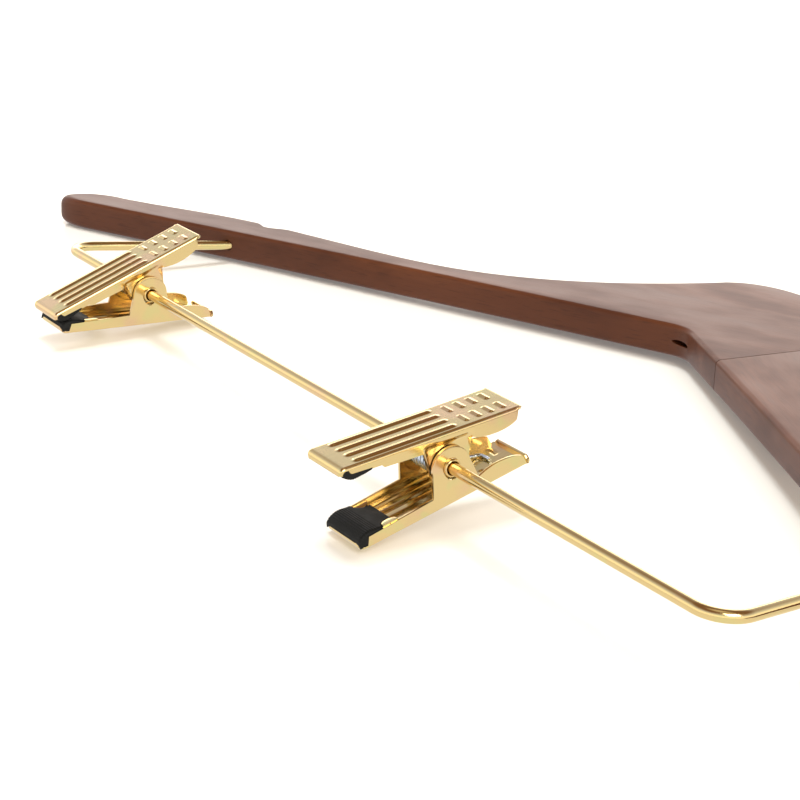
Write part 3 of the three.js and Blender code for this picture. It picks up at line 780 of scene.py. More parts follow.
class HANGER_OT_wood(bpy.types.Operator):
    """Build the two glued pieces of the wooden body"""

    bl_idname = "hanger.wood"
    bl_label = "Wooden body"

    def execute(self, context):
        wood, wire = settings("wood"), settings("wire")
        lower, upper = right_edges()
        mirror = np.array([-1, 1])
        for side, sign in (("right", 1), ("left", -1)):
            edges = [lower, upper]
            if side == "left":
                edges = [np.concatenate([edge * mirror, edge[-2::-1]]) for edge in edges]
            low, high = (up_to_seam(edge, sign) for edge in edges)
            points, cells = arm_sections(*matched(low, high, wood.waist_from_centre))
            thing = new_object(f"wood_{side}", points, cells)
            entry, inward = leg_line(sign)
            reach = np.linspace(-wire.socket_depth, wire.socket_depth, 2)[:, None]
            self.drill(thing, entry + inward * reach, wire.bar_wire / 2 + LEG_PLAY, ROUND)
            if side == "left":
                self.drill_head(thing)
            finish = material(f"stained_wood_{side}", stained_wood, -sign * wood.arm_slope)
            finished(thing, finish, "hanger", [f"arm_{side}"])
        paint_over(frame["nodes"]["joint_tongue"], bpy.data.materials["stained_wood_right"])
        return {"FINISHED"}

    @staticmethod
    def drill(thing, path, radius, sides, flatten=1.0):
        """Takes a round hole out of the wood, flattened towards the middle of its thickness."""
        middle = settings("wood").thickness / 2
        points, cells = tube(path, radius, sides)
        points[:, 2] = middle + (points[:, 2] - middle) * flatten
        combine(thing, "DIFFERENCE", points, cells)

    def drill_head(self, thing):
        """The nut recess, the slot that leads to it through a cover of wood, and the hole of the hook."""
        wood, wire = settings("wood"), settings("wire")
        middle = wood.thickness / 2
        bottom = -wood.apex_drop
        cover_top = wood.recess_cover - wood.apex_drop
        recess_top = wood.recess_depth - wood.apex_drop
        flatten = wood.recess_slot / (2 * wood.recess_radius)
        shank = wire.hook_wire / 2 + SHANK_PLAY
        for start, end, radius, sides, flat in (
            (cover_top, recess_top, wood.recess_radius, FINE_ROUND, 1.0),
            (2 * bottom, cover_top + MM, wood.recess_radius, FINE_ROUND, flatten),
            (bottom, wood.span, shank, ROUND, 1.0),
        ):
            self.drill(thing, np.array([[0, start, middle], [0, end, middle]]), radius, sides, flat)


class HANGER_OT_bar(bpy.types.Operator):
    """Build the wire bar that carries the clips"""

    bl_idname = "hanger.bar"
    bl_label = "Wire bar"

    def execute(self, context):
        wire = settings("wire")
        left, right = self.corner_path(-1), self.corner_path(1)[::-1]
        straight = left[-1] + np.linspace(0, 1, 60)[1:-1, None] * (right[0] - left[-1])
        points, cells = tube(np.concatenate([left, straight, right]), wire.bar_wire / 2, BAR_ROUND)
        thing = new_object("wire_bar", points, cells)
        finished(thing, gold_wire(), "hanger", ["clip_bar"])
        return {"FINISHED"}

    @staticmethod
    def corner_path(sign):
        """A leg from its end in the wood, and the circular arc that leads into the bar."""
        wire = settings("wire")
        corner, leg, along, run = bar_plane(sign)
        bend = math.acos(float(leg @ -along))
        tangent = wire.bar_bend / math.tan(bend / 2)
        towards = (leg - along) / np.linalg.norm(leg - along)
        centre = corner + towards * wire.bar_bend / math.sin(bend / 2)
        start = corner + leg * tangent - centre
        end = corner - along * tangent - centre
        whole = math.pi - bend
        angle = np.linspace(0, whole, 17)[:, None]
        round_part = centre + (np.sin(whole - angle) * start + np.sin(angle) * end) / math.sin(whole)
        far = corner + leg * np.linspace(run + wire.socket_depth - LEG_END_PLAY, tangent, 12)[:, None]
        return np.concatenate([far[:-1], round_part])


class HANGER_OT_hook(bpy.types.Operator):
    """Build the turning hook and the collar under it, and finish its washer and nut"""

    bl_idname = "hanger.hook"
    bl_label = "Hook"

    def execute(self, context):
        wire = settings("wire")
        path = self.wire_path()
        thing = new_object("hook_wire", *tube(path, wire.hook_wire / 2, HOOK_ROUND))
        combine(thing, "UNION", *self.ball(path[-1], tangents(path)[-1], wire.hook_ball))
        finished(thing, gold_sheet(), "hook", ["hook"])
        self.collar()
        for name in ("hook_washer", "hook_nut"):
            paint_over(frame["nodes"][name], gold_sheet())
        return {"FINISHED"}

    @staticmethod
    def wire_path():
        """A straight shank, a neck arc to the side and the long arc of the loop, in one plane."""
        wood, wire = settings("wood"), settings("wire")
        neck_turn, loop = wire.hook_neck_turn, wire.hook_loop
        neck = loop * math.cos(neck_turn) / (1 - math.cos(neck_turn))
        top = wood.head_height + wire.shank_above_head
        shank = np.stack([np.zeros(30), np.linspace(-wire.shank_below, top, 30)], 1)
        neck_arc = arc((neck, top), neck, math.pi, -neck_turn, 24)
        leaving = neck_arc[-1]
        centre = leaving + np.array([-math.cos(neck_turn), math.sin(neck_turn)]) * loop
        start = math.atan2(*(leaving - centre)[::-1])
        loop_arc = arc(centre, loop, start, wire.hook_sweep, 120)
        flat = np.concatenate([shank, neck_arc[1:], loop_arc[1:]])
        return np.concatenate([flat, np.full((len(flat), 1), wood.thickness / 2)], 1)

    @staticmethod
    def ball(centre, ahead, radius):
        """A ball as a wire whose radius follows a half circle, with a tiny flat at each end."""
        flat = 0.02
        angle = np.linspace(flat, math.pi - flat, 33)
        path = centre + ahead * (-radius * np.cos(angle))[:, None]
        return tube(path, radius * np.sin(angle), ROUND)

    @staticmethod
    def collar():
        """A turned collar: a flange with a round rim and a waist that narrows to a bead round the shank."""
        wood, wire = settings("wood"), settings("wire")
        bore = wire.hook_wire / 2 + SHANK_PLAY
        low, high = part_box("hook_ferrule")
        flange, tall = (high.x - low.x) / 2, high.y - low.y
        rim_round, rim_middle = 0.5 * MM, 0.6 * MM
        waist_start, waist_low = (flange - 1.0 * MM, 1.15 * MM), 1.6 * MM
        waist_wall, waist_high = bore + 0.7 * MM, tall * 0.8
        bead_start, bead_sweep = -math.pi / 3, math.pi * 0.8
        rim = arc((flange - rim_round, rim_middle), rim_round, -math.pi / 2, math.pi, 9)
        waist = bezier([waist_start, (waist_wall, waist_low), (waist_wall, waist_high)], 12)
        bead = arc((bore + rim_round, tall - rim_round), rim_round, bead_start, bead_sweep, 9)
        foot, mouth = [[bore, 0.1 * MM]], [[bore, tall - 0.05 * MM]]
        points, cells = lathe(np.concatenate([foot, rim, waist, bead, mouth]), FINE_ROUND)
        points = np.stack([points[:, 0], low.y + points[:, 2], wood.thickness / 2 + points[:, 1]], 1)
        thing = new_object("hook_collar", points, cells)
        finished(thing, gold_sheet(), "hanger", ["hook_ferrule"])


# Clips


def close_angle():
    """Slope of a lever's plate against the plane where the closed pads meet."""
    clip = settings("clip")
    return math.asin((clip.plate_height - clip.nose_stack) / clip.nose)


def tilt(side, up):
    """Slope of a lever's plate at rest."""
    clip = settings("clip")
    lower = clip.left_tilt if side == "left" else clip.right_tilt
    opening = clip.right_opening if side == "right" else 0.0
    return lower if up == LOWER else lower + 2 * close_angle() - opening


def pivot(side):
    """Place of a clip's pivot on the bar."""
    return np.array(joints[f"{side}_clip_swing"]["pos_m"])


def turned(points, angle):
    """Points turned about the X axis."""
    y = points[:, 1] * math.cos(angle) - points[:, 2] * math.sin(angle)
    z = points[:, 1] * math.sin(angle) + points[:, 2] * math.cos(angle)
    return np.stack([points[:, 0], y, z], 1)


def placed(points, side, up):
    """Points of a lever's own frame, turned to its slope and put on the bar."""
    return turned(points * [1, 1, up], tilt(side, up)) + pivot(side)


def nose_of(up):
    """Distance from the pivot to a lever's nose."""
    clip = settings("clip")
    return clip.nose + (clip.nose_overhang if up == UPPER else 0.0)


def lip_cut_of(up):
    """Narrowing of a lever's lip."""
    clip = settings("clip")
    return clip.upper_lip_cut if up == UPPER else clip.lower_lip_cut


def wall_depth(y, up, with_ear=True):
    """Depth of a side wall below the plate along the lever.

    Behind the nose lip it steps up and grows slowly, beside the ear it follows the ear's tangent sides and
    half circle, and at the tail it swells by a quarter sine wave and falls by a rounded curve.
    """
    clip = settings("clip")
    height, radius, middle = clip.plate_height, clip.ear_radius, clip.middle_wall
    shallow = clip.upper_nose_wall if up == UPPER else clip.lower_nose_wall
    start = clip.corner_relief - nose_of(up)
    soft, pad_soft = 0.3 * MM, 0.5 * MM
    fold_room, even_share, tail_power = 1.05, 0.4, 2.2
    fold = clip.side_fold * fold_room + clip.raised
    growth = np.clip((y - start) / (-clip.ear_foot - start), 0, 1)
    if up == UPPER:
        behind_pad = smoothstep(y, -clip.pad_step - pad_soft, -clip.pad_step + pad_soft)
        growth = even_share * growth + (1 - even_share) * behind_pad
    front = shallow + (middle - shallow) * growth
    depth = fold + (front - fold) * smoothstep(y, start - soft, start + soft)
    back = np.clip((y - clip.ear_heel) / (clip.tail_bulge - clip.ear_heel), 0, 1)
    swell = middle + (clip.tail_wall - middle) * np.sin(back * math.pi / 2)
    fall = np.clip((y - clip.tail_bulge) / (clip.tail - clip.tail_fold - clip.tail_bulge), 0, 1)
    tail = fold + (swell - fold) * np.sqrt(np.clip(1 - fall**tail_power, 0, 1))
    depth = np.where(y > clip.ear_heel, tail, depth)
    if with_ear:
        round_end = height + np.sqrt(np.clip(radius**2 - y**2, 0, None))
        front_side = middle + (height - middle) * (y + clip.ear_foot) / (clip.ear_foot - radius)
        back_side = middle + (height - middle) * (clip.ear_heel - y) / (clip.ear_heel - radius)
        depth = np.where((y >= -clip.ear_foot) & (y < -radius), front_side, depth)
        depth = np.where((y <= clip.ear_heel) & (y > radius), back_side, depth)
        depth = np.where(np.abs(y) <= radius, round_end, depth)
    return depth


def raised(x, y):
    """Height of the pressing in the plate: cosine waves across four long ribs and eight thumb grips."""
    clip = settings("clip")
    rows = np.arange(4)
    total = np.zeros(np.broadcast(x, y).shape)
    for place in (rows - rows.mean()) * clip.rib_pitch:
        beyond = np.maximum(np.maximum(-clip.rib_front - y, y - clip.rib_back), 0)
        away = np.hypot(x - place, beyond) / (clip.rib_width / 2)
        total = total + 0.5 + 0.5 * np.cos(math.pi * np.clip(away, 0, 1))
    for row in clip.grip_first + rows * clip.grip_pitch:
        for aside in (-clip.grip_aside, clip.grip_aside):
            beyond = np.maximum(np.abs(x - aside) - (clip.grip_length - clip.grip_width) / 2, 0)
            away = np.hypot(beyond, y - row) / (clip.grip_width / 2)
            total = total + 0.5 + 0.5 * np.cos(math.pi * np.clip(away, 0, 1))
    return clip.raised * total


def plate_line(nose):
    """The plate from the side with its inward normals: nose lip, bend, level, bend, thumb lip."""
    clip = settings("clip")
    top, radius = clip.plate_height - clip.raised, clip.ear_radius
    bend, back_bend = clip.nose_fold, clip.tail_fold
    margin = 1.4 * MM
    before_ear, behind_ear = -clip.ear_foot - margin, clip.ear_heel + margin
    nose_turn = np.linspace(math.pi, math.pi / 2, 10)[:-1]
    tail_turn = np.linspace(math.pi / 2, 0, 8)[1:]
    rise = np.linspace(clip.plate_height - clip.nose_lip, top - bend, 5)[:-1]
    drop = np.linspace(top - back_bend, clip.plate_height - clip.tail_lip, 5)[1:]
    level = np.concatenate(
        [
            np.linspace(bend - nose, before_ear, 52),
            np.linspace(before_ear, -radius, 20)[1:-1],
            radius * np.cos(np.linspace(math.pi, 0, 41)),
            np.linspace(radius, behind_ear, 20)[1:],
            np.linspace(behind_ear, clip.tail - back_bend, 42)[1:],
        ]
    )

    def rounded(centre_y, reach, angle):
        """A quarter circle under the plate's top."""
        ahead, up = np.cos(angle), np.sin(angle)
        return centre_y + reach * ahead, top - reach + reach * up, -ahead, -up

    stretches = [
        (-nose, rise, 1.0, 0.0),
        rounded(bend - nose, bend, nose_turn),
        (level, top, 0.0, -1.0),
        rounded(clip.tail - back_bend, back_bend, tail_turn),
        (clip.tail, drop, -1.0, 0.0),
    ]
    whole = [np.broadcast_arrays(*stretch) for stretch in stretches]
    return [np.concatenate(column) for column in zip(*whole)]


def lever_sheet(up):
    """Outer surface of a folded lever.

    A section across the plate, round the folds and down the walls is carried along the plate's side view.
    The walls end at the free edge, and the upper ears step inwards by a smooth bend. Cells inside the pivot
    hole are left out and the cells round it are drawn to the hole's edge.
    """
    clip = settings("clip")
    half, fold = clip.width / 2, clip.side_fold
    y, z, inward_y, inward_z = plate_line(nose_of(up))
    top = clip.plate_height - clip.raised
    least_wall, bend_clear = 0.12 * MM, 0.05 * MM
    root_share, bend_outside = 0.6, 0.35
    fade_start, fade_end = 1.6 * MM, 0.2 * MM
    touching = 1e-6

    flat = np.linspace(fold - half, half - fold, 85)
    level = np.abs(inward_z + 1)[:, None] < touching
    press = np.where(level, -raised(flat[None, :], y[:, None]), 0)
    angle = np.linspace(0, math.pi / 2, 7)[1:]
    fold_x, fold_in = half - fold + fold * np.sin(angle), fold * (1 - np.cos(angle))

    depth = wall_depth(y, up) - clip.raised
    depth[(z < top - touching) | (depth < fold + least_wall)] = fold
    bend_end = clip.middle_wall - clip.raised - bend_clear
    root = np.minimum(bend_end, fold + root_share * (depth - fold))[:, None]
    to_root, on_ear = np.linspace(0, 1, 10)[1:], np.linspace(0, 1, 13)[1:]
    wall_in = np.concatenate([fold + (root - fold) * to_root, root + (depth[:, None] - root) * on_ear], 1)
    step = clip.ear_step if up == UPPER else 0.0
    bend_out = clip.ear_foot + bend_outside * clip.ear_bend
    beside = smoothstep(-np.abs(y), -bend_out, clip.ear_bend - bend_out)[:, None]
    wall_x = half - step * beside * smoothstep(wall_in, bend_end - clip.ear_bend, bend_end)

    ones = np.ones((len(y), 1))
    right = np.concatenate([fold_x[None, :] * ones, wall_x], 1)
    x = np.concatenate([-right[:, ::-1], flat[None, :] * ones, right], 1)
    tail_end = clip.tail - clip.tail_fold
    folded = 1 - smoothstep(y, tail_end - fade_start, tail_end - fade_end)[:, None]
    right_in = np.concatenate([fold_in[None, :] * folded, wall_in * folded], 1)
    inset = np.concatenate([right_in[:, ::-1], press, right_in], 1)

    on_lip = np.where(y < 0, np.clip((top - z) / (clip.nose_lip - clip.raised), 0, 1), 0)
    x = x * (1 - on_lip**2 * lip_cut_of(up) / half)[:, None]
    to_edge = np.append(np.cumsum(np.hypot(np.diff(y), np.diff(z))[::-1])[::-1], 0)
    at_tail = np.where(y > 0, np.clip(1 - to_edge / (2 * clip.tail_lip), 0, 1), 0)
    x = x * (1 - at_tail**2 * clip.tail_corner / half)[:, None]
    side_y = y[:, None] + inset * inward_y[:, None]
    side_z = z[:, None] + inset * inward_z[:, None]
    points = np.stack([x, side_y, side_z], -1)
    rows, columns = x.shape
    from_middle = np.abs(np.arange(columns) - (columns - 1) / 2)
    is_wall = np.tile(from_middle > (columns - 1) / 2 - wall_in.shape[1], rows)
    return pierced(points.reshape(-1, 3), quads(rows, columns), is_wall, up)


def pierced(points, cells, is_wall, up):
    """A sheet without the cells inside the pivot hole, its rim drawn to a circle that is longer upwards."""
    clip = settings("clip")
    longer = clip.hole_radius + clip.hole_slack
    wide = longer if up == UPPER else clip.hole_radius
    tall = np.where(points[:, 2] > 0, longer, wide)
    away = np.hypot(points[:, 1] / wide, points[:, 2] / tall)
    inside = is_wall & (away < 1)
    dropped = inside[cells].all(1)
    kept = cells[~dropped]
    rim, used = np.zeros(len(points), bool), np.zeros(len(points), bool)
    rim[cells[dropped].ravel()] = True
    used[kept.ravel()] = True
    rim &= used
    points[rim, 1:] /= away[rim, None]
    return points, kept


def lug_sheet(sign, up):
    """A half-round lug: a half disc by radius and angle, level with the plate, rooted in a side wall."""
    clip = settings("clip")
    rows, columns = 8, 25
    sag, rooted, core = 0.25 * MM, 0.6 * clip.sheet, 0.02
    radius = np.linspace(core, 1, rows)[:, None] * clip.lug_radius
    angle = np.linspace(-math.pi / 2, math.pi / 2, columns)[None, :]
    reach = radius * np.cos(angle)
    x = sign * (clip.width / 2 - rooted - reach)
    y = -clip.lug_from_pivot + radius * np.sin(angle)
    edge = wall_depth(np.array([-clip.lug_from_pivot]), up)[0]
    z = clip.plate_height - edge + clip.lug_drop + sag * (reach / clip.lug_radius) ** 2
    return np.stack([x, y, z], -1).reshape(-1, 3), quads(rows, columns)


class HANGER_OT_levers(bpy.types.Operator):
    """Build the four folded sheet levers of the clips"""

    bl_idname = "hanger.levers"
    bl_label = "Clip levers"

    def execute(self, context):
        edge_round = 0.12 * MM
        for side, up, word in LEVERS:
            points, cells = joined([lever_sheet(up), lug_sheet(1, up), lug_sheet(-1, up)])
            thing = new_object(f"{side}_{word}_sheet", placed(points, side, up), cells, outward=False)
            self.face_out(thing, side, up)
            thick = thing.modifiers.new("sheet", "SOLIDIFY")
            thick.thickness, thick.offset = settings("clip").sheet, -1
            thick.use_even_offset = False
            settle(thing)
            bevel(thing, edge_round)
            finished(thing, gold_sheet(), f"{side}_{word}_jaw", [f"{side}_{word}_lever"])
        return {"FINISHED"}

    @staticmethod
    def face_out(thing, side, up):
        """Turns the faces of the open sheet so that the plate's outer face points away from the pivot."""
        angle = tilt(side, up)
        outward = Vector((0, -math.sin(angle) * up, math.cos(angle) * up))
        plate = sum((face.normal * face.area for face in thing.data.polygons), Vector())
        if plate.dot(outward) < 0:
            thing.data.flip_normals()


def pad_top(y, front, up):
    """Height of a pad over the plate's outer face along the lever.

    From the lip to the crest the lower pad rises by a quarter ellipse and the upper pad by a quarter cosine
    wave. The crest lies in the closing plane; behind it a slope falls to the back. Fine cosine ribs run
    over the front and the crest.
    """
    clip, small = settings("clip"), settings("small")
    slope, ribs_fade, fall_power = close_angle(), 0.6 * MM, 1.3
    crest = front + small.pad_crest
    closing = (small.closing_gap / 2 - crest * math.sin(slope)) / math.cos(slope)
    high = clip.plate_height - closing
    curl = np.clip((crest - y) / small.pad_crest, 0, 1)
    fall = np.clip((y - crest) / (front + small.pad_reach - crest), 0, 1)
    rise = np.cos(curl * math.pi / 2) if up == UPPER else np.sqrt(1 - curl**2)
    top = high - (high - clip.nose_lip) * (1 - rise) - (high - small.pad_back) * fall**fall_power
    ribs_end = front + small.pad_ribs_end
    ribbed = smoothstep(-y, -ribs_end, ribs_fade - ribs_end)
    wave = 0.5 + 0.5 * np.cos(2 * math.pi * (y - front) / small.pad_rib_pitch)
    return top - small.pad_rib_depth * ribbed * wave


def pad_shell(up):
    """A closed pad: a grid across and along, its top ribbed and rounded.

    Across, a column runs to the pad's half width, which dips round the lugs; near the sides the top falls
    in a quarter circle. Underneath the pad rests on the plate, the lip and the edges of the walls.
    """
    clip, small = settings("clip"), settings("small")
    front_play, side_play, lug_play, least = 0.1 * MM, 0.05 * MM, 0.25 * MM, 0.05 * MM
    upper_front_cut = 1.0 * MM
    stations, across = 170, 45
    nose = nose_of(up)
    front = front_play - nose
    y = front + small.pad_reach * np.linspace(0, 1, stations)
    notch = clip.lug_radius + lug_play
    dip = np.sqrt(np.clip(notch**2 - (y + clip.lug_from_pivot) ** 2, 0, None))
    half = clip.width / 2 - side_play - dip
    on_lip = y < clip.side_fold - nose + small.seat_gap
    if up == UPPER:
        half = np.where(on_lip, half - upper_front_cut, half)
    side = np.sin(np.linspace(-math.pi / 2, math.pi / 2, across))
    x = half[:, None] * side[None, :]

    edge = np.clip((np.abs(x) - half[:, None]) / small.pad_side_round + 1, 0, 1)
    top = pad_top(y, front, up)[:, None] - small.pad_side_round * (1 - np.sqrt(1 - edge**2))
    over_wall = wall_depth(y, up, with_ear=False)[:, None] + small.seat_gap
    inner = clip.width / 2 - clip.sheet - small.seat_gap
    floor = clip.raised + clip.sheet + small.seat_gap
    seat = np.where(np.abs(x) > inner, np.maximum(floor, over_wall), floor)
    lip_share = np.sqrt(np.clip((clip.width / 2 - np.abs(x)) / lip_cut_of(up), 0, 1))
    lip_edge = clip.raised + lip_share * (clip.nose_lip - clip.raised) + small.seat_gap
    seat = np.where(on_lip[:, None], np.maximum(lip_edge, clip.raised + clip.side_fold), seat)
    top = np.maximum(top, seat + least)
    level = np.broadcast_to(y[:, None], x.shape)
    upper_face = np.stack([x, level, clip.plate_height - top], -1)
    lower_face = np.stack([x, level, clip.plate_height - seat], -1)
    ring = np.concatenate([upper_face, lower_face[:, ::-1]], 1)
    rows, columns = ring.shape[:2]
    cells = quads(rows, columns, wrap=True).tolist()
    for first in (0, (rows - 1) * columns):
        last = first + columns - 1
        cells.extend([first + k, first + k + 1, last - 1 - k, last - k] for k in range(columns // 2 - 1))
    return ring.reshape(-1, 3), cells


class HANGER_OT_pads(bpy.types.Operator):
    """Build the four ribbed rubber pads"""

    bl_idname = "hanger.pads"
    bl_label = "Rubber pads"

    def execute(self, context):
        rubber = material("black_rubber", moulded_rubber)
        for side, up, word in LEVERS:
            points, cells = pad_shell(up)
            thing = new_object(f"{side}_{word}_rubber", placed(points, side, up), cells)
            finished(thing, rubber, f"{side}_{word}_jaw", [f"{side}_{word}_pad"], crease=50)
        return {"FINISHED"}


def spring_lift():
    """Height of a spring's leg under the inside of the plate."""
    clip, small = settings("clip"), settings("small")
    return clip.plate_height - clip.raised - clip.sheet - SPRING_PLAY - small.spring_wire / 2


def spring_leg(x, up):
    """One leg: a crosswise foot, a quarter bend, and the straight run to the coil, in its lever's frame."""
    small = settings("small")
    inward = -np.sign(x)
    angle = np.linspace(0, math.pi / 2, 9)
    across = x + inward * small.spring_bend * (1 - np.sin(angle))
    along = small.spring_reach - small.spring_bend * (1 - np.cos(angle))
    foot = np.linspace(x + inward * small.spring_foot, across[0], 7)[:-1]
    x_all = np.concatenate([foot, across])
    y_all = np.concatenate([np.full(len(foot), small.spring_reach), along])
    return np.stack([x_all, y_all, np.full(len(x_all), up * spring_lift())], 1)


def spring_path(side):
    """Lower leg, close coil and upper leg: the coil leaves each leg along its tangent."""
    small = settings("small")
    radius = small.spring_radius
    half = small.spring_turns * small.spring_pitch / 2
    lift, far = spring_lift(), small.spring_reach - small.spring_bend
    leave = math.atan2(lift, far) + math.acos(radius / math.hypot(lift, far))
    lower, upper = tilt(side, LOWER), tilt(side, UPPER)
    start = lower - leave
    end = upper + leave - 2 * math.pi * small.spring_turns
    share = np.linspace(0, 1, int(small.spring_turns * ROUND))
    angle = start + (end - start) * share
    coil = np.stack([half * (2 * share - 1), radius * np.cos(angle), radius * np.sin(angle)], 1)
    lower_leg = turned(spring_leg(-half, LOWER), lower)
    upper_leg = turned(spring_leg(half, UPPER), upper)[::-1]
    between = np.linspace(0, 1, 12)[1:-1, None]
    into = lower_leg[-1] + between * (coil[0] - lower_leg[-1])
    out = coil[-1] + between * (upper_leg[0] - coil[-1])
    return np.concatenate([lower_leg, into, coil, out, upper_leg])


class HANGER_OT_springs(bpy.types.Operator):
    """Build the torsion springs, whose legs lie along the levers at rest and whose coil winds between them
    """

    bl_idname = "hanger.springs"
    bl_label = "Springs"

    def execute(self, context):
        small = settings("small")
        zinc = material("zinc_wire", zinc_plating)
        for side in SIDES:
            points, cells = tube(spring_path(side), small.spring_wire / 2, SPRING_ROUND)
            thing = new_object(f"{side}_coil", points + pivot(side), cells)
            finished(thing, zinc, None, [f"{side}_spring"])
            between = (tilt(side, LOWER) + tilt(side, UPPER)) / 2
            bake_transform(thing)
        return {"FINISHED"}


class HANGER_OT_eyelets(bpy.types.Operator):
    """Build the eyelets that hinge the levers and slide on the bar"""

    bl_idname = "hanger.eyelets"
    bl_label = "Eyelets"

    def execute(self, context):
        clip, small = settings("clip"), settings("small")
        bore, rim_inside = small.eyelet_bore, 0.15 * MM
        seat = clip.width / 2 + EYELET_PLAY
        swell = (small.eyelet_rim - bore) / 2
        angle = np.linspace(0, math.pi, 15)
        roll_radius = bore + swell - swell * np.cos(angle)
        roll = np.stack([roll_radius, seat + small.eyelet_rim_height * np.sin(angle)], 1)
        half = np.concatenate([roll, [[small.eyelet_tube, seat - rim_inside]]])
        points, cells = lathe(np.concatenate([half, (half * [1, -1])[::-1]]), FINE_ROUND)
        points = np.stack([points[:, 2], points[:, 0], points[:, 1]], 1)
        for side in SIDES:
            thing = new_object(f"{side}_eyelet", points + pivot(side), cells)
            finished(thing, gold_wire(), f"{side}_carrier", [f"{side}_pivot_eyelet"])
        return {"FINISHED"}


# Stage


WHITE = (1, 1, 1, 1)
REFLECTED = (
    (0.26, (1.0, 0.97, 0.93)),
    (0.46, (0.56, 0.60, 0.70)),
    (0.76, (0.16, 0.09, 0.055)),
    (0.93, (0.16, 0.09, 0.055)),
    (1.0, (0.55, 0.48, 0.40)),
)
REFLECTED_STRENGTH = 1.5


def white_floor():
    """A glossy white table: plain white mixed in for the camera and for shiny metal, the shadow kept."""
    stage = settings("stage")
    nodes = Nodes(bpy.data.materials.new("white_table"))
    top = {"Base Color": (*settings("finish").table, 1), "Roughness": 0.22, "Specular IOR Level": 0.4}
    nodes.put(nodes.shader, top)
    light = nodes.add("ShaderNodeLightPath")
    seen = nodes.add("ShaderNodeMath", {1: stage.floor_white}, operation="MULTIPLY")
    nodes.link(light, "Is Camera Ray", seen, 0)
    share = nodes.add("ShaderNodeMath", {1: stage.floor_mirrored}, operation="MULTIPLY_ADD")
    nodes.link(light, "Is Glossy Ray", share, 0)
    nodes.link(seen, "Value", share, 2)
    glow = nodes.add("ShaderNodeEmission", {"Color": WHITE, "Strength": 1.0})
    mix = nodes.either(share, "Value", nodes.shader, glow)
    nodes.link(mix, "Shader", nodes.tree.nodes["Material Output"], "Surface")
    return nodes.owner


def studio_world():
    """White for the camera, an even soft light, and for reflections a colour ramp by height.

    The ramp runs from a white horizon to a dark ceiling with a lighter middle.
    """
    world = bpy.data.worlds.new("studio")
    bpy.context.scene.world = world
    nodes = Nodes(world)
    plain = nodes.tree.nodes["Background"]
    nodes.put(plain, {"Color": WHITE, "Strength": 1.0})
    soft = {"Color": (*settings("finish").soft_tint, 1), "Strength": settings("stage").soft_light}
    even = nodes.add("ShaderNodeBackground", soft)
    where = nodes.add("ShaderNodeTexCoord")
    split = nodes.add("ShaderNodeSeparateXYZ")
    ramp = nodes.add("ShaderNodeValToRGB")
    stops = ramp.color_ramp.elements
    stops[0].position, stops[-1].position = REFLECTED[0][0], REFLECTED[-1][0]
    for height, _ in REFLECTED[1:-1]:
        stops.new(height)
    for stop, (_, tint) in zip(stops, REFLECTED):
        stop.color = (*tint, 1)
    mirrored = nodes.add("ShaderNodeBackground", {"Strength": REFLECTED_STRENGTH})
    nodes.link(where, "Generated", split, "Vector")
    nodes.link(split, "Z", ramp, "Fac")
    nodes.link(ramp, "Color", mirrored, "Color")
    light = nodes.add("ShaderNodeLightPath")
    glossy = nodes.either(light, "Is Glossy Ray", even, mirrored)
    seen = nodes.either(light, "Is Camera Ray", glossy, plain)
    nodes.link(seen, "Shader", nodes.tree.nodes["World Output"], "Surface")


def softbox(name, place, size, watts, tint, mirrored=True):
    """A large soft lamp that faces the clips; mirrored lamps show in shiny surfaces."""
    target = Vector((0.0, -0.1, 0.0))
    lamp = bpy.data.lights.new(name, "AREA")
    lamp.shape, lamp.energy, lamp.color = "RECTANGLE", watts, tint
    lamp.size, lamp.size_y = size
    thing = bpy.data.objects.new(name, lamp)
    thing.location = place
    thing.rotation_mode = "QUATERNION"
    thing.rotation_quaternion = (target - place).to_track_quat("-Z", "Y")
    thing.visible_glossy = mirrored
    bpy.context.scene.collection.objects.link(thing)


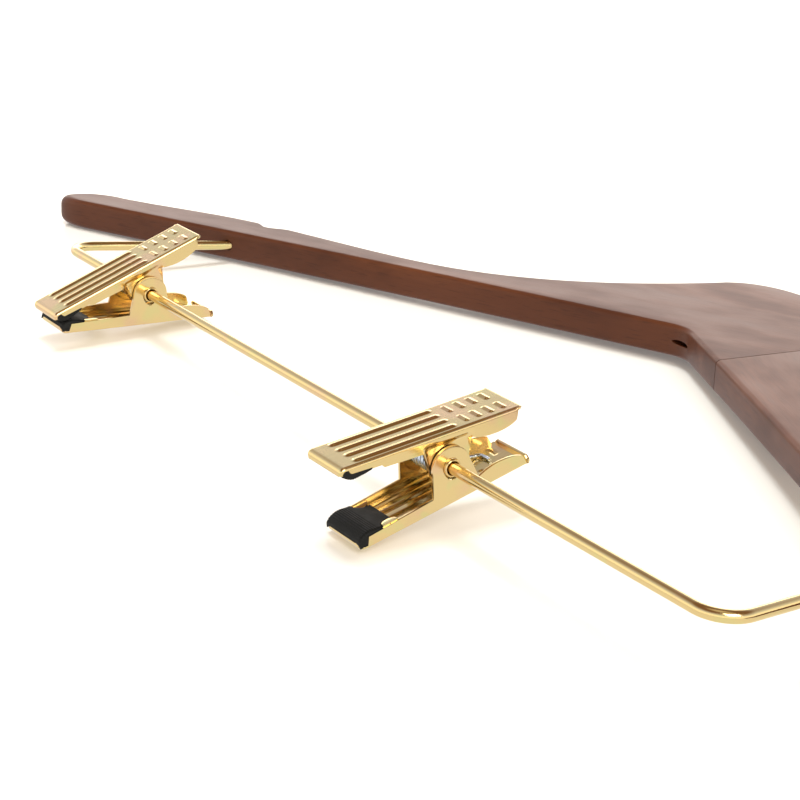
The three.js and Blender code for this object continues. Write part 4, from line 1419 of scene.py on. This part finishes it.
class HANGER_OT_stage(bpy.types.Operator):
    """Set up the camera, the floor and the light"""

    bl_idname = "hanger.stage"
    bl_label = "Stage"

    def execute(self, context):
        context.scene.view_settings.view_transform = "Standard"
        self.camera(context)
        self.floor()
        studio_world()
        self.lamps()
        return {"FINISHED"}

    @staticmethod
    def camera(context):
        """A camera by place, heading, fall and roll."""
        stage = settings("stage")
        lens = bpy.data.cameras.new("camera")
        lens.sensor_fit = "HORIZONTAL"
        lens.angle = stage.field
        lens.clip_start = 10 * MM
        thing = bpy.data.objects.new("camera", lens)
        level = Vector((math.cos(stage.heading), math.sin(stage.heading), 0))
        away = Vector((-math.sin(stage.heading), math.cos(stage.heading), 0))
        forward = away * math.cos(stage.pitch) - Vector((0, 0, math.sin(stage.pitch)))
        down = forward.cross(level)
        right = level * math.cos(stage.roll) + down * math.sin(stage.roll)
        up = level * math.sin(stage.roll) - down * math.cos(stage.roll)
        turned_to = Matrix((right, up, -forward)).transposed().to_4x4()
        place = Matrix.Translation((stage.camera_x, stage.camera_y, stage.camera_z))
        thing.matrix_world = place @ turned_to
        context.scene.collection.objects.link(thing)
        context.scene.camera = thing

    @staticmethod
    def floor():
        """A plane with a slight slope along both axes."""
        stage = settings("stage")
        side = np.linspace(-stage.floor_size / 2, stage.floor_size / 2, 9)
        x, y = np.meshgrid(side, side, indexing="ij")
        z = stage.floor_level + stage.floor_slope_x * x + stage.floor_slope_y * y
        points = np.stack([x, y, z], -1).reshape(-1, 3)
        table = new_object("table", points, quads(len(side), len(side)), outward=False)
        if table.data.polygons[0].normal.z < 0:
            table.data.flip_normals()
        table.data.materials.append(white_floor())

    @staticmethod
    def lamps():
        """A cool lamp overhead, a white one at the right and a low warm panel behind."""
        stage = settings("stage")
        away = Vector((-math.sin(stage.heading), math.cos(stage.heading), 0))
        right = Vector((math.cos(stage.heading), math.sin(stage.heading), 0))
        overhead = right * -0.2 + away * 0.1 + Vector((0, 0, 1.6))
        beside = Vector((1.15, -0.25, 1.0))
        behind = away * 2.5 + Vector((0, 0, 0.72))
        cool, white, warm = (0.84, 0.93, 1.0), (1.0, 1.0, 1.0), (1.0, 0.90, 0.80)
        softbox("key_softbox", overhead, (0.6, 0.6), stage.key_light, cool, mirrored=False)
        softbox("side_softbox", beside, (0.8, 0.8), stage.side_light, white)
        softbox("back_panel", behind, (3.4, 0.62), stage.back_light, warm)


class HANGER_PT_panel(bpy.types.Panel):
    """Steps that build the hanger"""

    bl_idname = "HANGER_PT_panel"
    bl_label = "Clip hanger"
    bl_space_type = "VIEW_3D"
    bl_region_type = "UI"
    bl_category = "Hanger"

    def draw(self, context):
        for step in STEPS:
            self.layout.operator(step.bl_idname)


STEPS = (
    HANGER_OT_stage,
    HANGER_OT_wood,
    HANGER_OT_bar,
    HANGER_OT_hook,
    HANGER_OT_levers,
    HANGER_OT_pads,
    HANGER_OT_springs,
    HANGER_OT_eyelets,
)


def register():
    """Registers the settings, the steps and the panel."""
    for name, group in SETTINGS.items():
        bpy.utils.register_class(group)
        setattr(bpy.types.Scene, name, bpy.props.PointerProperty(type=group))
    for kind in (*STEPS, HANGER_PT_panel):
        bpy.utils.register_class(kind)


def unregister():
    """Takes out what register put in."""
    for kind in (HANGER_PT_panel, *reversed(STEPS)):
        bpy.utils.unregister_class(kind)
    for name, group in SETTINGS.items():
        delattr(bpy.types.Scene, name)
        bpy.utils.unregister_class(group)


def main():
    """Builds the hanger step by step."""
    register()
    for step in STEPS:
        getattr(bpy.ops.hanger, step.bl_idname.split(".")[1])()


if __name__ == "__main__":
    main()
